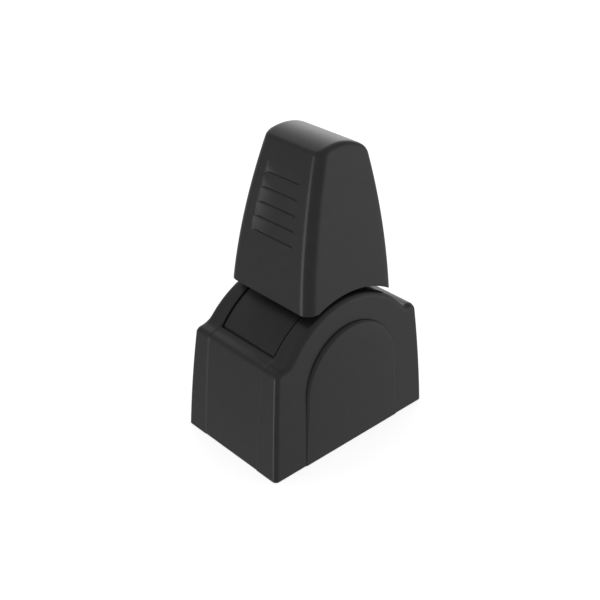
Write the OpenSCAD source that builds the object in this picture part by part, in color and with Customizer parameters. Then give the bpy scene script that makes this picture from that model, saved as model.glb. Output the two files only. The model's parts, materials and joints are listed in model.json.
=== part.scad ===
// Single lever controller. A domed base holds a cross shaft, and a tapered hand grip rocks
// fore and aft over the dome. A curved shutter moves with the grip and keeps the slot closed.
// Millimetres. +Z is up, the finger grooves face -Y, and the origin is on the table, under the
// middle of the base.

/* [Overall] */
// Length of the base at the table, front to back
base_length = 111; // [100:1:134]
// Width of the base at the table, side to side
base_width = 72; // [60:1:87]
// Height of the cross shaft above the table
pivot_height = 34; // [30:0.5:38]
// How far the cross shaft sits behind the middle of the base
pivot_setback = 0.5; // [0:0.25:1]
// Radius of the dome about the cross shaft
dome_radius = 51.5; // [50:0.5:52]
// Height of the top of the grip above the table
overall_height = 165; // [150:0.5:198]
// Angle that the lever swings each way from upright
lever_travel = 16; // [8:1:17]

/* [Base shell] */
// Wall of the housing
wall = 2.6; // [2:0.02:3.12]
// Radius of the four upright corners of the base
base_corner = 2.4; // [1.5:0.1:5]
// Inward slope of the two sides at the table
side_slope = 0.04; // [0.02:0.005:0.05]
// Radius of the gentle bow of the two sides
side_bow = 1515; // [1300:5:2500]
// Inward slope of the front and back at the table
end_slope = 0.055; // [0.03:0.005:0.06]
// Radius of the gentle bow of the front and back
end_bow = 1000; // [900:5:2000]
// Height of the front shoulder at its outer edge
front_shoulder = 60.5; // [58:0.5:62]
// Height of the front shoulder where it meets the dome
front_shoulder_root = 63; // [62:0.5:65]
// Height of the back shoulder
back_shoulder = 64.5; // [61:0.5:66]
// Depth of the shallow centre panel down the front and over the front shoulder
panel_recess = 0.4; // [0.2:0.1:0.8]

/* [Slot and shutter] */
// Width of the slot in the dome
slot_width = 41.2; // [34:0.2:44]
// Angle from upright to the front edge of the slot
slot_front_angle = 55.5; // [54:0.5:58]
// Angle from upright to the back edge of the slot
slot_back_angle = 55.5; // [52:0.5:56]
// Thickness of the dome's lip around the slot
slot_lip = 1; // [0.8:0.1:1.4]
// Thickness of the shutter
shutter_thickness = 1.5; // [1.2:0.1:2]
// Shutter width beyond the slot, each side
shutter_overlap = 1.5; // [1:0.1:2]
// Gap between the shutter and the lip
shutter_gap = 0.3; // [0.2:0.05:0.4]
// How far the shutter's raised centre lies below the dome
land_sink = 0.4; // [0.3:0.1:0.8]
// Gap round the shutter's raised centre, with the lever upright
land_gap = 1; // [0.5:0.1:1.2]

/* [Side covers] */
// Radius of the cover's round top
cover_radius = 32.5; // [26:0.5:33]
// Height of the centre of the round top
cover_centre = 39; // [38:0.5:43]
// Half width of the cover at the table
cover_foot = 34.3; // [33:0.1:36]
// How far the cover stands proud at the table
cover_proud = 0.4; // [0.3:0.1:0.6]
// Inward slope of the cover's flat face
cover_slope = 0.035; // [0.03:0.005:0.04]
// Depth of the cover's seat in the housing wall
cover_seat = 0.8; // [0.6:0.1:1]
// Diameter of the cover's fixing posts
cover_post_d = 5; // [4:0.5:6]

/* [Base plate] */
// Thickness of the base plate
plate_thickness = 3; // [2.5:0.1:4]
// How far the feet stand below the plate and the housing
foot_proud = 0.5; // [0.4:0.1:1]
// Diameter of a rubber foot
foot_d = 10; // [8:0.5:11]
// Thickness of a rubber foot
foot_thickness = 1.6; // [1.2:0.1:2]
// Distance between the mounting inserts across the base
mount_pitch_x = 40; // [36:1:42]
// Distance between the mounting inserts along the base
mount_pitch_y = 70; // [66:1:74]
// Tapping diameter of the mounting inserts
insert_bore_d = 3.3; // [3:0.1:3.6]
// Outer diameter of the mounting inserts
insert_d = 5.6; // [5:0.1:6]
// Length of the mounting inserts
insert_length = 6; // [5:0.5:8]

/* [Shaft and frames] */
// Diameter of the cross shaft
shaft_d = 8; // [6:0.2:9.6]
// Radial running clearance of the shaft in its bushes
running_clearance = 0.03; // [0.02:0.01:0.06]
// Thickness of the two side frames
frame_thickness = 3; // [2.5:0.5:4]
// Half width of a side frame at its foot
frame_foot = 24; // [22:1:27]
// Radial wall of the bearing bushes
bush_wall = 2; // [1.5:0.5:2.5]
// Thickness of the bearing flange
bush_flange = 1; // [0.8:0.1:1.5]
// Radius of the lever hub
hub_radius = 8; // [7.5:0.5:9]
// Width of the lever hub
hub_width = 16; // [14:1:17]

/* [Position sensor] */
// Module of the gear pair
gear_module = 1; // [0.8:0.1:1]
// Teeth on the full circle of the drive gear
drive_teeth = 36; // [34:1:38]
// Teeth on the sensor gear
sensor_teeth = 12; // [12:1:14]
// Width of the drive gear
gear_width = 4; // [3:0.5:4.5]
// Diameter of the sensor body
sensor_d = 16; // [14:0.5:17]
// Depth of the sensor body
sensor_depth = 6.5; // [5:0.5:7]
// Diameter of the sensor shaft
sensor_shaft_d = 4; // [3:0.5:4]

/* [Friction brake] */
// Outer diameter of the friction disc
disc_d = 28; // [24:1:30]
// Thickness of the friction disc
disc_thickness = 2; // [1.5:0.5:2.5]
// Thickness of the friction pad
pad_thickness = 2; // [1.5:0.5:2.5]
// Gap between the turning disc and the still pad
pad_gap = 0.05; // [0.03:0.01:0.1]

/* [Grip] */
// Gap between the dome and the hollow underside of the grip
grip_gap = 3; // [2:0.1:4]
// Height of the grip's front lower edge above the shaft
grip_front_rise = 50.3; // [48:0.1:51]
// Front of the grip at its foot, ahead of the cross shaft
grip_front_foot = 29; // [27:0.5:30]
// Front of the grip at its top, ahead of the cross shaft
grip_front_top = 11.2; // [10:0.2:14]
// Outward bow of the front of the grip
grip_front_bow = 3; // [1:0.2:4]
// Back of the grip at its foot, behind the cross shaft
grip_back_foot = 32.5; // [30:0.5:33]
// Back of the grip at its top, behind the cross shaft
grip_back_top = 19.5; // [16:0.5:22]
// Outward bow of the back of the grip
grip_back_bow = 2.5; // [1:0.2:4]
// Radius of the upright corners of the grip
grip_corner = 5.6; // [3:0.2:6]
// Radius of the crown on top of the grip
crown_radius = 30; // [28:1:36]
// Wall of the grip shells
grip_wall = 2.4; // [2:0.1:3]
// Distance between finger grooves
groove_pitch = 7.5; // [6:0.5:8]
// Number of finger grooves
groove_count = 5; // [3:1:6]
// Depth of the finger grooves
groove_depth = 1; // [0.6:0.1:1.4]
// Height of the lowest groove's ledge below the top of the grip
groove_drop = 48.8; // [44:0.1:50]

/* [Fasteners] */
// Core diameter of the self-tapping screws
screw_d = 2.4; // [2:0.1:2.6]
// Head diameter of the screws
screw_head_d = 5.2; // [4.5:0.1:5.6]
// Head height of the screws
screw_head = 1.8; // [1.5:0.1:2.2]

/* [Hidden] */
$fn = 96;

// Shared clearances
fit_gap = 0.05;
easy_gap = 0.15;
screw_gap = 0.05;
over = 1;

// Colours
shell_colour = [0.20, 0.20, 0.205];
frame_colour = [0.62, 0.63, 0.65];
steel_colour = [0.75, 0.76, 0.78];
brass_colour = [0.78, 0.62, 0.32];
rubber_colour = [0.08, 0.08, 0.08];
board_colour = [0.10, 0.35, 0.18];

// Outer skin of the base and the grip: both share the same bowed sides
form_fn = 24;
slice = 0.01;
dome_top = pivot_height + dome_radius;
function side_lean(z) = side_slope * z + z * z / (2 * side_bow);
function end_lean(z) = end_slope * z + z * z / (2 * end_bow);
function half_width(z) = base_width / 2 - side_lean(z);
function half_length(z) = base_length / 2 - end_lean(z);
inner_half_width = half_width(pivot_height) - wall;

front_root_y = pivot_setback - sqrt(pow(dome_radius, 2) - pow(front_shoulder_root - pivot_height, 2));

// Base plate and what stands on it
plate_bottom = foot_proud;
plate_top = plate_bottom + plate_thickness;
plate_half_x = half_width(plate_top) - wall - easy_gap;
plate_half_y = half_length(plate_top) - wall - easy_gap;
boss_radius = 3.6;
boss_top = 20;
boss_x = half_width(boss_top) - wall - boss_radius / 2;
boss_y = half_length(boss_top) - wall - boss_radius / 2;
foot_offset_x = 7;
foot_offset_y = 6.5;
foot_x = mount_pitch_x / 2 + foot_offset_x;
foot_y = mount_pitch_y / 2 + foot_offset_y;
insert_boss_wall = 2;
insert_boss_radius = insert_d / 2 + insert_boss_wall;

// Screws: one pattern, several lengths
screw_clearance = 0.4;
screw_bite = 3;
screw_r = screw_d / 2;
pilot_r = screw_r + screw_gap;
screw_hole_r = screw_r + screw_clearance;
base_screw_length = 12;
chassis_screw_length = 5.5;

// Side frames
frame_inner = inner_half_width - sensor_depth - over - frame_thickness;
frame_outer = frame_inner + frame_thickness;
bush_radius = shaft_d / 2 + bush_wall;
bush_flange_radius = bush_radius + 1.5;
frame_ring = 4;
frame_top_radius = bush_radius + frame_ring;
flange_width = 8;
flange_screw_inset = 6;
flange_screw_x = frame_inner - flange_width / 2;
flange_screw_y = frame_foot - flange_screw_inset;

// Gear pair and sensor
gear_distance = gear_module * (drive_teeth + sensor_teeth) / 2;
sensor_drop = 6;
sensor_y = sqrt(gear_distance * gear_distance - sensor_drop * sensor_drop);
sensor_z = pivot_height - sensor_drop;
sensor_angle = atan2(-sensor_drop, sensor_y);
gear_x = hub_width / 2 + over;
gear_backlash = 0.2;
sector_half_teeth = 5;
thread_r = sensor_shaft_d / 2 + 1.6;
nut_thickness = 1.8;
nut_r = thread_r + 1.9;
sensor_ring_r = thread_r + 3.5;
sensor_back_wall = 1.5;
pressure_angle = 20;

// Friction brake stack, outward from the hub
disc_x = hub_width / 2 + over;
pad_x = disc_x + disc_thickness + pad_gap;
plate_x = pad_x + pad_thickness;
pressure_thickness = 1.5;
pad_shaft_gap = 1.5;
plate_shaft_gap = 1;
spring_x = plate_x + pressure_thickness;
spring_count = 3;
spring_pitch = (frame_inner - bush_flange - spring_x) / spring_count;
spring_thickness = 0.5;
guide_pin_r = 1.2;
guide_pin_inset = 3;
guide_pin_reach = disc_d / 2 - guide_pin_inset;
guide_pin_angle = 30;
guide_pin_set_back = 0.5;

// Shaft
ring_thickness = 0.8;
shaft_end = frame_outer + over + ring_thickness + over;
ring_groove_depth = 0.5;
ring_width = 2;
groove_radius = shaft_d / 2 - ring_groove_depth;

// Stops under the hub
lug_half = 3;
lug_reach = 20;
stop_slack = 0.1;
stop_face = lug_reach * sin(lever_travel) + lug_half * cos(lever_travel) + stop_slack;
buffer_thickness = 2;
buffer_side = 2;
buffer_lift = 0.5;
upright_thickness = 3;
bracket_side = 3;
lug_overlap = 2;
stop_screw_y = 5;

// Shutter: a thin band under the lips, with a raised land that fills the slot
shutter_radius = dome_radius - slot_lip - shutter_gap;
land_radius = dome_radius - land_sink;
land_half = slot_width / 2 - land_gap;
land_track_half = land_half + land_gap / 2;
land_end_turn = asin(land_gap / land_radius);
shutter_half = slot_width / 2 + shutter_overlap;
shutter_margin = 1.5;
shutter_front_angle = slot_front_angle + lever_travel + shutter_margin;
shutter_back_angle = slot_back_angle + lever_travel + shutter_margin;
track_gap = 0.5;
track_half = shutter_half + track_gap;
thin_wall = 1.2;

// Lever column
column_half_x = 6;
column_half_y = 9;
column_step = 2;
collar_wall = 3;
collar_depth = 9;
collar_skirt = 4;
column_drop = 32;
column_top = overall_height - column_drop;
core_lift = 10;
core_height = 26;
core_bottom = dome_top + core_lift;
core_top = core_bottom + core_height;
core_half_x = 14;
core_half_y = 12;
core_screw_inset = 6;
core_screw_z = [core_bottom + core_screw_inset, core_top - core_screw_inset];
hub_screw_sink = 0.5;

// Grip
grip_foot_z = pivot_height + sqrt(pow(dome_radius + grip_gap, 2) - pow(grip_front_foot, 2));
crown_y = pivot_setback + 0.5;
crown_z = overall_height - crown_radius;
grip_flat_y = grip_front_foot / 2;
split_y = pivot_setback + 2.5;
window_gap = 1;
high_screw_x = 9;
high_screw_z = overall_height - 20;
low_screw_x = 20;
low_screw_z = dome_top + 12;
grip_screw_spots = [[-high_screw_x, high_screw_z], [high_screw_x, high_screw_z],
                    [-low_screw_x, low_screw_z], [low_screw_x, low_screw_z]];
grip_screw_length = 12;
grip_screw_seat = 4;
grip_pilot_depth = 10;
grip_boss_radius = 3;
groove_half_low = 13.6;
groove_half_step = 0.78;
groove_front_slope = 0.25;
groove_land = 1;
form_steps = 6;
smallest_round = 0.6;

function mix(a, b, t) = a * (1 - t) + b * t;
function grip_part(z) = (z - grip_foot_z) / (overall_height - grip_foot_z);
function grip_front_y(z) = let (t = grip_part(z))
    pivot_setback - mix(grip_front_foot, grip_front_top, t) - 4 * grip_front_bow * t * (1 - t);
function grip_back_y(z) = let (t = grip_part(z))
    pivot_setback + mix(grip_back_foot, grip_back_top, t) + 4 * grip_back_bow * t * (1 - t);

// Socket and board at the back
board_lift = 4.5;
board_z = plate_top + board_lift;
board_thickness = 1.6;
board_half_x = 18;
board_front = 27;
board_back_gap = 3;
board_back = half_length(board_z) - wall - board_back_gap;
board_screw_inset = 4;
board_post_r = 2.6;
socket_half_x = 7;
socket_height = 9;
socket_depth = 12;
socket_sink = 0.6;
socket_back = half_length(board_z + board_thickness + socket_height) - socket_sink;
socket_wall = 1;
socket_floor = 3;

// Posts that carry the side covers, as places in Y and Z
cover_post_spots = [[-20, 50], [20, 50], [0, 14]];
post_reach = 3;
clip_seat = 0.5;

// ---- Helpers ----

// Extrudes a profile drawn in Y and Z across the part, centred on x = 0
module across(width) {
    rotate([90, 0, 90]) linear_extrude(width, center = true) children();
}

// A cylinder along X between two places
module bar(x0, x1, r) {
    translate([x0, 0, 0]) rotate([0, 90, 0]) cylinder(x1 - x0, r = r);
}

module at_pivot() {
    translate([0, pivot_setback, pivot_height]) children();
}

module four_corners(x, y) {
    for (sx = [-1, 1]) {
        for (sy = [-1, 1]) {
            translate([sx * x, sy * y, 0]) children();
        }
    }
}

// A pan-head screw: its head stands on z = 0 and its shank points down
module screw(length) {
    cylinder(screw_head, d = screw_head_d);
    translate([0, 0, -length]) cylinder(length, r = screw_r);
}

// Outer form of the base, drawn inwards by inset
module base_form(inset) {
    r = max(base_corner - inset, smallest_round);
    hull() {
        for (i = [0 : form_steps]) {
            z = mix(-over, dome_top + over, i / form_steps);
            translate([0, 0, z])
                four_corners(half_width(z) - inset - r, half_length(z) - inset - r)
                    cylinder(slice, r = r, $fn = form_fn);
        }
    }
}

// Side profile of the base, lowered by drop
module base_profile(drop) {
    reach = base_length / 2 + over;
    translate([pivot_setback, pivot_height]) circle(dome_radius - drop);
    polygon([[-reach, -2 * over], [-reach, front_shoulder - drop],
             [front_root_y, front_shoulder_root - drop],
             [0, front_shoulder_root - drop], [0, back_shoulder - drop],
             [reach, back_shoulder - drop], [reach, -2 * over]]);
}

// Wedge of the circle about the pivot between two angles from upright
module dome_wedge(front_angle, back_angle) {
    far = 2 * dome_radius;
    polygon([[0, 0], [-far * tan(front_angle), far], [0, far], [far * tan(back_angle), far]]);
}

// Ring sector about the pivot, for the shutter, between two angles from upright
module arc_strip(r_out, r_in, front_angle, back_angle) {
    far = 2 * dome_radius;
    front_tip = [-far * sin(front_angle), far * cos(front_angle)];
    back_tip = [far * sin(back_angle), far * cos(back_angle)];
    intersection() {
        difference() {
            circle(r_out);
            circle(r_in);
        }
        polygon([[0, 0], front_tip, [-far, far], [far, far], back_tip]);
    }
}

// Outline of a side cover, grown or shrunk by grow
module cover_outline(grow) {
    foot = cover_foot + grow;
    translate([0, cover_centre]) circle(cover_radius + grow);
    polygon([[-foot, -2 * over], [foot, -2 * over], [cover_radius + grow, cover_centre],
             [-cover_radius - grow, cover_centre]]);
}

module cover_posts(r, x0, x1) {
    for (spot = cover_post_spots) {
        translate([0, spot[0], spot[1]]) bar(x0, x1, r);
    }
}

// One tooth of an involute gear, as a polygon's points from one flank to the other
function involute(base_r, a) = [base_r * (cos(a) + a * PI / 180 * sin(a)),
                                base_r * (sin(a) - a * PI / 180 * cos(a))];
function turned(p, a) = [p[0] * cos(a) - p[1] * sin(a), p[0] * sin(a) + p[1] * cos(a)];
function roll_angle(base_r, r) = 180 / PI * sqrt(max(pow(r / base_r, 2) - 1, 0));

module gear_tooth(teeth) {
    pitch_r = gear_module * teeth / 2;
    base_r = pitch_r * cos(pressure_angle);
    outer_r = pitch_r + gear_module;
    root_r = pitch_r - 1.25 * gear_module;
    steps = 5;
    half_angle = 90 / teeth - gear_backlash / 2 / pitch_r * 180 / PI / 2;
    roll_pitch = roll_angle(base_r, pitch_r);
    flank_at_pitch = involute(base_r, roll_pitch);
    shift = atan2(flank_at_pitch[1], flank_at_pitch[0]) + half_angle;
    roll_end = roll_angle(base_r, outer_r);
    low_flank = [for (i = [0 : steps]) turned(involute(base_r, roll_end * i / steps), -shift)];
    high_flank = [for (i = [steps : -1 : 0]) [low_flank[i][0], -low_flank[i][1]]];
    foot_r = root_r - gear_module / 2;
    foot = turned([foot_r, 0], -shift);
    polygon(concat([foot], low_flank, high_flank, [[foot[0], -foot[1]]]));
}

// ---- Base shell ----

module housing() {
    color(shell_colour)
        union() {
            difference() {
                housing_skin();
                housing_cuts();
            }
            housing_bosses();
        }
}

module housing_skin() {
    intersection() {
        base_form(0);
        across(2 * base_width) base_profile(0);
        translate([0, 0, plate_bottom + base_length]) cube(2 * base_length, center = true);
    }
}

module housing_cuts() {
    intersection() {
        base_form(wall);
        across(2 * base_width) base_profile(wall);
    }
    intersection() {
        base_form(thin_wall);
        at_pivot() {
            bar(-track_half, track_half, dome_radius - slot_lip);
            bar(-land_track_half, land_track_half, land_radius + shutter_gap);
        }
        translate([0, 0, pivot_height + base_length - lug_reach])
            cube(2 * base_length, center = true);
    }
    at_pivot() across(slot_width) dome_wedge(slot_front_angle, slot_back_angle);
    difference() {
        translate([-slot_width / 2, -base_length, -over]) cube([slot_width, base_length, dome_top]);
        intersection() {
            base_form(panel_recess);
            across(2 * base_width) base_profile(panel_recess);
        }
    }
    difference() {
        across(2 * base_width) cover_outline(easy_gap);
        base_form(cover_seat);
    }
    cover_posts(cover_post_d / 2 + fit_gap, -base_width, base_width);
    translate([0, socket_back, board_z + board_thickness + socket_height / 2])
        cube([2 * (socket_half_x + easy_gap), 4 * wall, socket_height + 2 * easy_gap],
             center = true);
}

module housing_bosses() {
    difference() {
        intersection() {
            four_corners(boss_x, boss_y)
                translate([0, 0, plate_top + fit_gap])
                    cylinder(boss_top - plate_top - fit_gap, r = boss_radius);
            base_form(cover_seat + fit_gap);
        }
        four_corners(boss_x, boss_y) translate([0, 0, -over])
            cylinder(plate_bottom + screw_head + base_screw_length + 2 * over, r = pilot_r);
    }
}

// Cover blank for the +X side: everything outside the seat and inside the flat face
module cover_blank() {
    face = base_width / 2 + cover_proud;
    difference() {
        intersection() {
            across(2 * base_width) cover_outline(0);
            translate([face, 0, 0]) rotate([0, -atan(cover_slope), 0])
                translate([-base_width / 4, -base_length / 2, foot_proud])
                    cube([base_width / 4, base_length, dome_top]);
        }
        base_form(cover_seat - fit_gap);
    }
}

module side_cover() {
    cover_blank();
    intersection() {
        cover_posts(cover_post_d / 2, inner_half_width - post_reach, base_width / 2);
        base_form(cover_seat - 2 * fit_gap);
    }
}

module side_cover_right() {
    color(shell_colour) side_cover();
}

module side_cover_left() {
    color(shell_colour) mirror([1, 0, 0]) side_cover();
}

// Push-on clips that hold the cover posts from inside
module cover_clips() {
    color(steel_colour)
        for (side = [0, 1]) {
            mirror([side, 0, 0])
                for (spot = cover_post_spots) {
                    clip_x = half_width(spot[1]) - wall - clip_seat;
                    translate([0, spot[0], spot[1]])
                        difference() {
                            bar(clip_x - ring_thickness, clip_x, cover_post_d);
                            bar(0, base_width, cover_post_d / 2 + fit_gap / 2);
                        }
                }
        }
}

// ---- Base plate and what it carries ----

module base_plate() {
    color(shell_colour)
        difference() {
            union() {
                translate([-plate_half_x, -plate_half_y, plate_bottom])
                    cube([2 * plate_half_x, 2 * plate_half_y, plate_thickness]);
                four_corners(mount_pitch_x / 2, mount_pitch_y / 2)
                    translate([0, 0, plate_bottom])
                        cylinder(insert_length, r = insert_boss_radius);
                board_spots() translate([0, 0, plate_bottom])
                    cylinder(board_z - plate_bottom, r = board_post_r);
            }
            four_corners(boss_x, boss_y) {
                translate([0, 0, -over]) cylinder(plate_top + 2 * over, r = screw_hole_r);
                translate([0, 0, -over]) cylinder(over + plate_bottom + screw_head + fit_gap,
                                                  d = screw_head_d + 2 * easy_gap);
            }
            four_corners(foot_x, foot_y)
                translate([0, 0, -over]) cylinder(over + foot_thickness, d = foot_d + easy_gap);
            four_corners(mount_pitch_x / 2, mount_pitch_y / 2)
                translate([0, 0, -over]) cylinder(insert_length + 3 * over, d = insert_d);
            chassis_spots() translate([0, 0, -over])
                cylinder(plate_top + 2 * over, r = pilot_r);
            board_spots() translate([0, 0, -over]) cylinder(board_z + 2 * over, r = pilot_r);
        }
}

// Screws driven up through the plate into the housing bosses
module base_screws() {
    color(steel_colour)
        four_corners(boss_x, boss_y)
            translate([0, 0, plate_bottom + screw_head]) mirror([0, 0, 1])
                screw(base_screw_length);
}

module feet() {
    color(rubber_colour)
        four_corners(foot_x, foot_y) cylinder(foot_thickness, d = foot_d);
}

module mount_inserts() {
    color(brass_colour)
        four_corners(mount_pitch_x / 2, mount_pitch_y / 2)
            translate([0, 0, plate_bottom])
                difference() {
                    cylinder(insert_length, d = insert_d);
                    translate([0, 0, -over]) cylinder(insert_length + 2 * over, d = insert_bore_d);
                }
}

// Where the frames and the stop bracket are screwed to the plate
module chassis_spots() {
    four_corners(flange_screw_x, flange_screw_y) children();
    for (side = [-1, 1]) {
        translate([0, pivot_setback + side * stop_screw_y, 0]) children();
    }
}

module chassis_screws() {
    color(steel_colour)
        chassis_spots() translate([0, 0, plate_top + frame_thickness])
            screw(chassis_screw_length);
}

module board_spots() {
    for (side = [-1, 1]) {
        translate([side * (board_half_x - board_screw_inset), board_front + board_screw_inset, 0])
            children();
    }
}

// ---- Side frames, bushes and stops ----

module frame_outline(with_sensor) {
    difference() {
        union() {
            translate([pivot_setback, pivot_height]) circle(frame_top_radius);
            polygon([[-frame_foot, plate_top], [frame_foot, plate_top],
                     [frame_foot, plate_top + frame_thickness],
                     [pivot_setback + frame_top_radius, pivot_height],
                     [pivot_setback - frame_top_radius, pivot_height],
                     [-frame_foot, plate_top + frame_thickness]]);
            if (with_sensor) {
                translate([pivot_setback + sensor_y, sensor_z]) circle(sensor_ring_r);
                polygon([[frame_foot - frame_ring, plate_top], [frame_foot + frame_ring, plate_top],
                         [pivot_setback + sensor_y + sensor_ring_r, sensor_z],
                         [pivot_setback, pivot_height + frame_top_radius - over],
                         [pivot_setback, pivot_height - frame_top_radius]]);
            }
        }
        translate([pivot_setback, pivot_height]) circle(bush_radius);
        if (with_sensor) {
            translate([pivot_setback + sensor_y, sensor_z]) circle(thread_r + fit_gap);
        } else {
            guide_pin_spots() circle(guide_pin_r);
        }
    }
}

// Guide pins sit above and below the shaft's centre, in the plane of Y and Z
module guide_pin_spots() {
    for (side = [-1, 1]) {
        translate([pivot_setback + side * guide_pin_reach * cos(guide_pin_angle),
                   pivot_height - side * guide_pin_reach * sin(guide_pin_angle)]) children();
    }
}

module side_frame(with_sensor) {
    difference() {
        union() {
            translate([frame_inner + frame_thickness / 2, 0, 0])
                across(frame_thickness) frame_outline(with_sensor);
            translate([frame_inner - flange_width, -frame_foot, plate_top])
                cube([flange_width, 2 * frame_foot, frame_thickness]);
        }
        for (side = [-1, 1]) {
            translate([flange_screw_x, side * flange_screw_y, -over])
                cylinder(2 * plate_top + frame_thickness, r = screw_hole_r);
        }
    }
}

module side_frame_right() {
    color(frame_colour) side_frame(false);
}

module side_frame_left() {
    color(frame_colour) mirror([1, 0, 0]) side_frame(true);
}

module bush() {
    difference() {
        union() {
            bar(frame_inner, frame_outer, bush_radius);
            bar(frame_inner - bush_flange, frame_inner, bush_flange_radius);
        }
        bar(0, base_width, shaft_d / 2 + running_clearance);
    }
}

module bearing_right() {
    color(brass_colour) at_pivot() bush();
}

module bearing_left() {
    color(brass_colour) at_pivot() mirror([1, 0, 0]) bush();
}

// A strip on the plate with an upright on each side of the hub's lug
module stop_bracket() {
    upright_y = stop_face + buffer_thickness;
    half_x = lug_half + bracket_side;
    upright_height = pivot_height - lug_reach + lug_overlap;
    strip_y = upright_y + upright_thickness;
    color(frame_colour)
        translate([0, pivot_setback, plate_top])
            difference() {
                union() {
                    translate([-half_x, -strip_y, 0]) cube([2 * half_x, 2 * strip_y, frame_thickness]);
                    for (side = [0, 1]) {
                        mirror([0, side, 0])
                            translate([-half_x, upright_y, 0])
                                cube([2 * half_x, upright_thickness, upright_height]);
                    }
                }
                for (side = [-1, 1]) {
                    translate([0, side * stop_screw_y, -over])
                        cylinder(frame_thickness + 2 * over, r = screw_hole_r);
                }
            }
}

module stop_buffers() {
    buffer_low = plate_top + frame_thickness + screw_head + buffer_lift;
    buffer_high = plate_top + pivot_height - lug_reach + lug_overlap;
    color(rubber_colour)
        for (side = [0, 1]) {
            translate([0, pivot_setback, 0]) mirror([0, side, 0])
                translate([-lug_half - buffer_side, stop_face, buffer_low])
                    cube([2 * (lug_half + buffer_side), buffer_thickness, buffer_high - buffer_low]);
        }
}

// ---- Board, socket and sensor ----

module circuit_board() {
    color(board_colour)
        difference() {
            translate([-board_half_x, board_front, board_z])
                cube([2 * board_half_x, board_back - board_front, board_thickness]);
            board_spots() cylinder(board_z + 2 * board_thickness, r = screw_hole_r);
        }
}

module board_screws() {
    color(steel_colour)
        board_spots() translate([0, 0, board_z + board_thickness]) screw(chassis_screw_length);
}

// Socket at the back of the board: a box open to the back
module signal_socket() {
    low = board_z + board_thickness;
    color(steel_colour)
        difference() {
            translate([-socket_half_x, socket_back - socket_depth, low])
                cube([2 * socket_half_x, socket_depth, socket_height]);
            translate([-socket_half_x + socket_wall, socket_back - socket_depth + socket_floor,
                       low + socket_wall])
                cube([2 * (socket_half_x - socket_wall), socket_depth,
                      socket_height - 2 * socket_wall]);
        }
}

module at_sensor() {
    translate([0, pivot_setback + sensor_y, sensor_z]) children();
}

module sensor_body() {
    color(frame_colour)
        at_sensor() mirror([1, 0, 0])
            difference() {
                union() {
                    bar(frame_outer, frame_outer + sensor_depth, sensor_d / 2);
                    bar(frame_inner - nut_thickness - over, frame_outer, thread_r);
                }
                bar(0, frame_outer + sensor_depth - sensor_back_wall,
                    sensor_shaft_d / 2 + running_clearance);
            }
}

module sensor_nut() {
    color(brass_colour)
        at_sensor() mirror([1, 0, 0])
            difference() {
                translate([frame_inner - nut_thickness, 0, 0]) rotate([0, 90, 0])
                    cylinder(nut_thickness, r = nut_r, $fn = 6);
                bar(0, base_width, thread_r);
            }
}

module sensor_shaft() {
    color(steel_colour)
        at_sensor() mirror([1, 0, 0])
            bar(gear_x, frame_outer + sensor_depth - sensor_back_wall - running_clearance,
                sensor_shaft_d / 2);
}

// Turned so that a gap faces the drive gear's middle tooth
module sensor_gear() {
    color(shell_colour)
        at_sensor()
            difference() {
                translate([-gear_x - gear_width / 2, 0, 0])
                    across(gear_width) {
                        circle(gear_module * (sensor_teeth / 2 - 1.25));
                        for (i = [0 : sensor_teeth - 1]) {
                            rotate(180 + sensor_angle + 360 * (i + 0.5) / sensor_teeth)
                                gear_tooth(sensor_teeth);
                        }
                    }
                bar(-base_width, base_width, sensor_shaft_d / 2);
            }
}

// ---- Lever: shaft, yoke, gear and brake disc ----

module pivot_shaft() {
    groove_inner = frame_outer + over;
    groove_width = ring_thickness + 2 * fit_gap;
    color(steel_colour)
        at_pivot()
            difference() {
                bar(-shaft_end, shaft_end, shaft_d / 2);
                for (side = [0, 1]) {
                    mirror([side, 0, 0])
                        difference() {
                            bar(groove_inner, groove_inner + groove_width, shaft_d);
                            bar(0, base_width, groove_radius);
                        }
                }
            }
}

// Open rings snapped into the grooves at the shaft's ends
module retaining_rings() {
    ring_x = frame_outer + over + fit_gap;
    color(steel_colour)
        at_pivot()
            for (side = [0, 1]) {
                mirror([side, 0, 0])
                    difference() {
                        bar(ring_x, ring_x + ring_thickness, shaft_d / 2 + ring_width);
                        bar(0, base_width, groove_radius);
                        translate([0, -groove_radius + ring_width / 2, -base_width])
                            cube([base_width, 2 * groove_radius - ring_width, base_width]);
                    }
            }
}

module yoke() {
    color(frame_colour)
        difference() {
            union() {
                at_pivot() {
                    bar(-hub_width / 2, hub_width / 2, hub_radius);
                    translate([-lug_half, -lug_half, -lug_reach])
                        cube([2 * lug_half, 2 * lug_half, lug_reach]);
                }
                translate([-column_half_x, pivot_setback - column_half_y, pivot_height])
                    cube([2 * column_half_x, 2 * column_half_y, dome_radius + grip_gap]);
                translate([-column_half_x, pivot_setback - column_half_y + column_step, pivot_height])
                    cube([2 * column_half_x, 2 * (column_half_y - column_step),
                          column_top - pivot_height]);
            }
            at_pivot() {
                bar(-base_width, base_width, shaft_d / 2);
                rotate([-90, 0, 0]) cylinder(hub_radius + over, r = pilot_r);
            }
            shutter_screw_spots() cylinder(column_half_x + over, r = pilot_r, center = true);
            core_screw_spots() cylinder(4 * column_half_y, r = pilot_r, center = true);
        }
}

// Grub screw that locks the hub on the shaft
module hub_screw() {
    color(steel_colour)
        at_pivot() rotate([-90, 0, 0])
            translate([0, 0, shaft_d / 2])
                cylinder(hub_radius - shaft_d / 2 - hub_screw_sink, r = screw_r);
}

module shutter_screw_spots() {
    for (side = [-1, 1]) {
        translate([side * column_half_x, pivot_setback, dome_top - collar_depth])
            rotate([0, side * 90, 0]) children();
    }
}

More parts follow.
